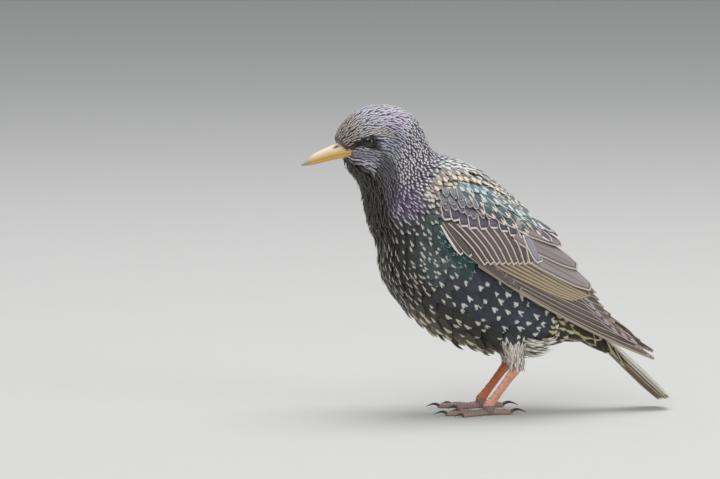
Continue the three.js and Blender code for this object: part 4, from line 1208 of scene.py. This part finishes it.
def makeUndertail():  # long under tail coverts, cream with dark arrowheads, hung below the tail's sheet
    u, q = np.array([(u, q) for u, row in undertail["rows"] for q in row], float).T
    wear = evenWear(len(u), np.random.default_rng(77), **undertail["worn"])
    wear["tip"] = np.full(len(u), undertail["tip"])
    unwrap = stacked((q + 7) / 14, (u + 7) / 26)
    layFeathers("undertail_coverts", "covert", tailSurface, -1, u, q, wear, unwrap, bodyPlumage)


makeUndertail()


# Eyes: a wet ball whose iris and pupil face out along the socket, and lids round it
def ballLook(word):
    look = Look("wet_eye_" + word, Specular_IOR_Level=0.6)
    out = look.parts("iris")[0]
    streak = look.noise(2600.0)
    colour = look.mix(streak, (0.012, 0.007, 0.005, 1), (0.035, 0.02, 0.013, 1))
    colour = look.mix(out.step(0.9, 0.93), colour, (0.002, 0.002, 0.002, 1))
    colour = look.mix(out.step(0.74, 0.66), colour, (0.02, 0.018, 0.016, 1))
    return look.feed(Base_Color=colour, Roughness=streak * 0.02 + 0.05)


def lidLook(word):
    look = Look("eyelid_" + word, Roughness=0.45)
    fold = look.noise(2200.0)
    colour = look.mix(fold, paint((30, 28, 28)), paint((60, 57, 56)))
    return look.feed(Base_Color=colour, Normal=look.bump(fold, 0.0001))


def makeEye(word, side):  # cos of the polar angle along the gaze, sin of it round the gaze
    centre, normal = eyePlace(side)
    tangent = unit(np.cross(normal, [0, 0, 1.0]))
    upward = np.cross(tangent, normal)
    polar, angle = column(0, math.pi, 33), circle(48)
    facing = np.cos(polar)
    ball = (facing[..., None] * normal + (np.sin(polar) * np.cos(angle))[..., None] * tangent
            + (np.sin(polar) * np.sin(angle))[..., None] * upward) * eye["radius"]
    addPiece("eye_ball_" + word, ball + centre, gridFaces(33, 48, True), ballLook(word),
             ("eye_" + word,), {"iris": stacked(facing, facing, facing, 1.0)})
    # lids: a ring of three folds, narrower at its front and back corners
    fold = column(0, 1, 13)
    radius = eye["radius"] * (0.72 + 0.26 * fold) * (1.06 + 0.06 * np.cos(2 * angle))
    rise = eye["sunk"] - 0.05 + 0.32 * np.sin(fold * math.pi) + 0.07 * np.sin(fold * 3 * math.pi) ** 2
    rise = rise - 0.55 * fold ** 3
    lid = centre + (radius * np.cos(angle))[..., None] * tangent
    lid = lid + (radius * 0.9 * np.sin(angle))[..., None] * upward + rise[..., None] * normal
    addPiece("eyelids_" + word, lid, gridFaces(13, 48, True), lidLook(word))


for word, side in (("left", 1), ("right", -1)):
    makeEye(word, side)
print("eyes")

# Bill: each half is a vault from one cutting edge over the ridge to the other, closed flat inside
bill = {
    "tipX": -89.4, "rootX": -60.5, "rows": 61, "columns": 33, "fullness": 0.85, "part": 0.05,
    "culmen": [120.9, 125.0, 127.4, 129.3, 130.9, 132.1, 133.0],
    "mouth": [120.5, 121.9, 123.3, 124.5, 125.5, 126.2, 126.6],
    "keel": [120.1, 120.4, 121.4, 122.4, 123.3, 124.0, 124.4],
    "half": [0.35, 1.7, 2.6, 3.4, 4.2, 4.9, 5.3],
    # the nostril's place and the slope of its slit; where the corner of the mouth widens, and its dark skin
    "nostril": (-72.7, 129.0), "slit": (0.9, 0.43), "flare": 1.25, "flareFrom": -72, "flareEnd": -65.0,
    "corner": -65.2, "cornerDark": 0.75, "insideDark": 0.35,
    "yellow": (204, 162, 74), "cream": (226, 206, 190), "horn": (172, 163, 150), "base": (158, 138, 122),
    "dark": (44, 34, 28), "stain": (120, 92, 60),
}


def mound(long, width, tall, height):  # a soft mound on two axes
    return np.exp(-(long / width) ** 2 - (tall / height) ** 2)


def billLook(name, upper):
    look = Look(name, Specular_IOR_Level=0.5)
    along, over, dark = look.parts("horn")
    grain = look.noise(700.0, 4.0)
    streak = look.noise(1.0, 3.0, look.vector(along * 6.0, over * 26.0, 0.0))
    colour = look.mix(streak, paint(bill["yellow"]), paint(bill["yellow"], 1.12))
    pale = over.step(0.12, 0.6) if upper else over.step(0.75, 1.3)
    colour = look.mix(pale * 0.9, colour, paint(bill["cream"]))
    colour = look.mix(along.step(0.22, 0.02), colour, paint(bill["horn"]))
    if upper:
        colour = look.mix(along.step(0.62, 0.8) * over.step(0.15, 0.5) * 0.55, colour, paint(bill["base"]))
    colour = look.mix(dark, colour, paint(bill["dark"]))
    colour = look.mix((grain - 0.55).step(0.0, 0.25) * 0.35, colour, paint(bill["stain"]))
    return look.feed(Base_Color=colour, Roughness=grain * 0.25 + 0.28,
                     Normal=look.bump(streak + grain * 0.5, 0.00008))


# Half width times cos and height times sin of the angle over the vault, both to the power of its fullness
def makeBill(name, ridge, sign, node):
    t = column(0, 1, bill["rows"])
    phi = np.linspace(0, math.pi, bill["columns"])[None, :]
    x = blendIn(bill["tipX"], bill["rootX"], t) + 0 * phi
    half, mouth, top = (through(bill[key], t * 6) for key in ("half", "mouth", ridge))
    mouth = mouth + sign * bill["part"]
    up = np.sin(phi) ** bill["fullness"]
    y = half * np.sign(np.cos(phi)) * np.abs(np.cos(phi)) ** bill["fullness"]
    z = mouth + (top - mouth) * up
    flare = bill["flare"] * bell(z - mouth, 1.9) * ease((x - bill["flareFrom"]) / 6)
    y = y + np.sign(y) * (flare * (1 - ease((x - bill["flareEnd"]) / 2.0)))
    dark = 0
    if sign > 0:  # nostril slits under a horny lid, in a shallow trough
        dx, dz = x - bill["nostril"][0], z - bill["nostril"][1]
        along, across = bill["slit"]
        long, tall = dx * along + dz * across, dz * along - dx * across
        dip = mound(long, 1.7, tall + 0.15, 0.5) * 0.75 + mound(long, 3.2, tall, 1.3) * 0.25
        lid = mound(long, 1.9, tall - 0.75, 0.42) * 0.35
        y = y - np.sign(y) * (dip - lid) * (np.abs(y) > 0.4)
        dark = np.clip(mound(long, 1.5, tall + 0.15, 0.42) * 1.3, 0, 1)
    flat = stacked(x, y, mouth)[:, ::-1]
    ring = turnHead(np.concatenate([stacked(x, y, z), flat[:, 1:-1]], 1), body["headTurn"])
    rows, count = ring.shape[:2]
    horn = np.zeros((rows, count, 4))
    horn[..., 0] = t
    horn[:, :bill["columns"], 1] = up
    horn[:, :bill["columns"], 2] = dark
    horn[..., 2] += bill["cornerDark"] * ease((ring[..., 0] - bill["corner"]) / 0.9)
    horn[:, bill["columns"]:, 2] = bill["insideDark"]
    horn[..., 3] = 1
    faces = gridFaces(rows + 2, count, True)
    addPiece(name, closedEnds(ring), faces if sign > 0 else faces[:, ::-1], billLook(name, sign > 0),
             (node,), {"horn": sameEnds(horn)})


makeBill("bill_upper_horn", "culmen", 1, "bill_upper")
makeBill("bill_lower_horn", "keel", -1, "bill_lower")
print("bill")

# Legs: a shank with plates down its front, toes with ringed scales and pads, hooked claws.
# Each skin has a colour and that of its plates
# the shanks share one pink-red skin: the near (left) one is painted paler, with pale plates, as lit and
# highlighted, and the far (right) one darker and redder, as painted shade
legSkin = {"left": ((234, 160, 136), (232, 188, 172)), "right": ((220, 126, 88), (208, 134, 104)),
           "toe": ((168, 142, 130), (150, 130, 122)), "claw": (58, 48, 42), "clawBase": (110, 94, 84),
           "stain": (120, 86, 74)}
toes = [
    {"name": "inner", "turn": -0.42, "length": 14.0, "radius": 1.35, "claw": 5.0, "pads": 2},
    {"name": "middle", "turn": 0.04, "length": 20.5, "radius": 1.5, "claw": 6.0, "pads": 3},
    {"name": "outer", "turn": 0.5, "length": 15.5, "radius": 1.35, "claw": 5.0, "pads": 2},
    {"name": "hind", "turn": math.pi, "length": 10.5, "radius": 1.6, "claw": 7.5, "pads": 2},
]
shank = {"at": [-0.06, 0, 0.12, 0.3, 0.6, 0.85, 1, 1.06],
         "swell": [1.1, 1.32, 1.2, 1.02, 0.96, 1.05, 1.25, 1.2],
         "wide": 1.4, "tall": 2.0, "plates": 7.0, "raise": 0.16}


def legLook(name, main, plates):
    look = Look(name, Specular_IOR_Level=0.4)
    _, top, edge = look.parts("scale")
    grain = look.noise(1500.0)
    tone = look.mix(look.noise(160.0, 2.0), paint(main, 0.82), paint(main, 1.12))
    tone = look.mix(top * 0.5, tone, paint(plates))
    tone = look.mix(edge * 0.4, tone, paint(main, 0.5))
    tone = look.mix((grain - 0.5).step(0.0, 0.3) * 0.3, tone, paint(legSkin["stain"]))
    relief = look.bump(grain * 0.6 - edge, 0.00015)
    return look.feed(Base_Color=tone, Roughness=grain * 0.3 + 0.35, Normal=relief)


def clawLook():
    look = Look("claw_horn_gloss", Specular_IOR_Level=0.5)
    along = look.parts("scale")[0]
    grain = look.noise(1800.0)
    colour = look.mix(along.step(0.0, 0.4), paint(legSkin["clawBase"]), paint(legSkin["claw"]))
    return look.feed(Base_Color=colour, Roughness=grain * 0.2 + 0.25, Normal=look.bump(grain, 0.00005))


# Rings square to a path in a standing plane, wide across it and tall in it, nowhere below the floor
def tube(name, path, wide, tall, around, look, node, scale):
    ahead = unit(np.gradient(path, axis=0))
    across = unit(np.cross(ahead, [0, 0, 1.0]) + 1e-9)
    up = np.cross(across, ahead)
    a = circle(around)
    points = path[:, None] + across[:, None] * (wide * np.cos(a))[..., None]
    points = points + up[:, None] * (tall * np.sin(a))[..., None]
    points[..., 2] = np.maximum(points[..., 2], 0)
    points = closedEnds(points)
    addPiece(name, points, gridFaces(len(points), around, True)[:, ::-1], look, (node,),
             {"scale": sameEnds(scale)})


def makeShank(word, ankle, foot, look):  # a swelling tube with a saw of plates along its front
    t, a = column(-0.06, 1.06, 110), circle(28)
    front = np.clip(np.sin(a) * 1.6, 0, 1)
    phase = (t * shank["plates"]) % 1.0
    grain = np.cos(t * 60 + a * 3)
    plate = (phase ** 1.5 - 0.5) * shank["raise"] * front + 0.03 * grain * (1 - front)
    edge = bell(phase - 1.0, 0.09) * front + bell(phase, 0.05) * front + 0.35 * (grain > 0.8) * (1 - front)
    swell = np.interp(t, shank["at"], shank["swell"])
    wide, tall = (shank[key] * swell + plate for key in ("wide", "tall"))
    tube("shank_" + word, ankle + (foot - ankle) * t, wide, tall, 28, look, "tarsus_" + word,
         stacked(t, front, np.clip(edge, 0, 1), 1.0))


def makeFootPad(word, foot, look):  # the ball of the foot
    t, a = column(0, 1, 15), circle(28)
    knobs = np.cos(a * 9) * np.sin(t * 9)
    r = 2.5 * (0.9 + 0.14 * np.sin(t * math.pi)) * (1 + 0.03 * knobs)
    ring = stacked(foot[0] + 1.08 * r * np.cos(a), foot[1] + r * np.sin(a), foot[2] * t)
    scale = stacked(t, 0.4, 1 - np.clip(knobs, 0, 1), 1.0)
    addPiece("foot_pad_" + word, closedEnds(ring), gridFaces(17, 28, True), look,
             ("foot_" + word,), {"scale": sameEnds(scale)})


def makeToe(name, toe, base, way, look):  # a tapering tube that swells once for each pad
    t, a = column(0, 1, 64), circle(20)
    swell = 1 + 0.09 * np.cos(2 * math.pi * (toe["pads"] * t - 0.5))
    radius = toe["radius"] * blendIn(1.08, 0.82, t) * swell
    top = np.clip(np.sin(a) * 1.5 + 0.2, 0, 1)
    phase = (t * toe["pads"] * 4) % 1.0
    plate = (phase - 0.5) * 0.14 * top
    edge = bell(phase - 1.0, 0.14) * top + bell(phase, 0.08) * top
    path = base + way * (t * toe["length"]) + np.array([0, 0, 1]) * radius * 0.8
    tube("toe_scales_" + name, path, radius + plate, radius + plate, 20, look, "toe_" + name,
         stacked(t, top, np.clip(edge, 0, 1), 1.0))


def makeClaw(name, toe, base, way, look):  # a point that rises by a sine and comes down to the floor
    t = column(0, 1, 26)
    root = toe["radius"] * 0.62
    radius = blendIn(root, 0.12, t ** 0.9)
    arch = root * 0.9 + toe["claw"] * 0.5 * np.sin(math.pi * t * 0.62) * (1 - t)
    path = base + way * (toe["length"] - 0.4 + t * (toe["claw"] + 0.7))
    path = path + np.array([0, 0, 1]) * np.maximum(arch, radius * 0.7)
    tube("hooked_claw_" + name, path, radius * 0.75, radius, 16, look, "claw_" + name,
         stacked(t, 0.0, 0.0, 1.0))


def makeLegs():
    clawFinish = clawLook()
    for word, side in sides:
        shift = leg["farShift"] if side > 0 else 0
        ankle, foot = (np.array([x + shift, side * y, z]) for x, y, z in (leg["ankle"], leg["foot"]))
        ankle[2] -= 0.3
        # each shank's colours carry painted light: lit and highlighted on the near (left) leg, painted shade
        # on the far (right) one
        makeShank(word, ankle, foot, legLook("shank_skin_painted_light_" + word, *legSkin[word]))
        toeLook = legLook("toe_skin_" + word, *legSkin["toe"])
        makeFootPad(word, foot, toeLook)
        base = foot * np.array([1, 1, 0])
        for toe in toes:
            way = np.array([-math.cos(toe["turn"]), side * math.sin(toe["turn"]), 0])
            makeToe(word + "_" + toe["name"], toe, base, way, toeLook)
            makeClaw(word + "_" + toe["name"], toe, base, way, clawFinish)


makeLegs()
print("legs")
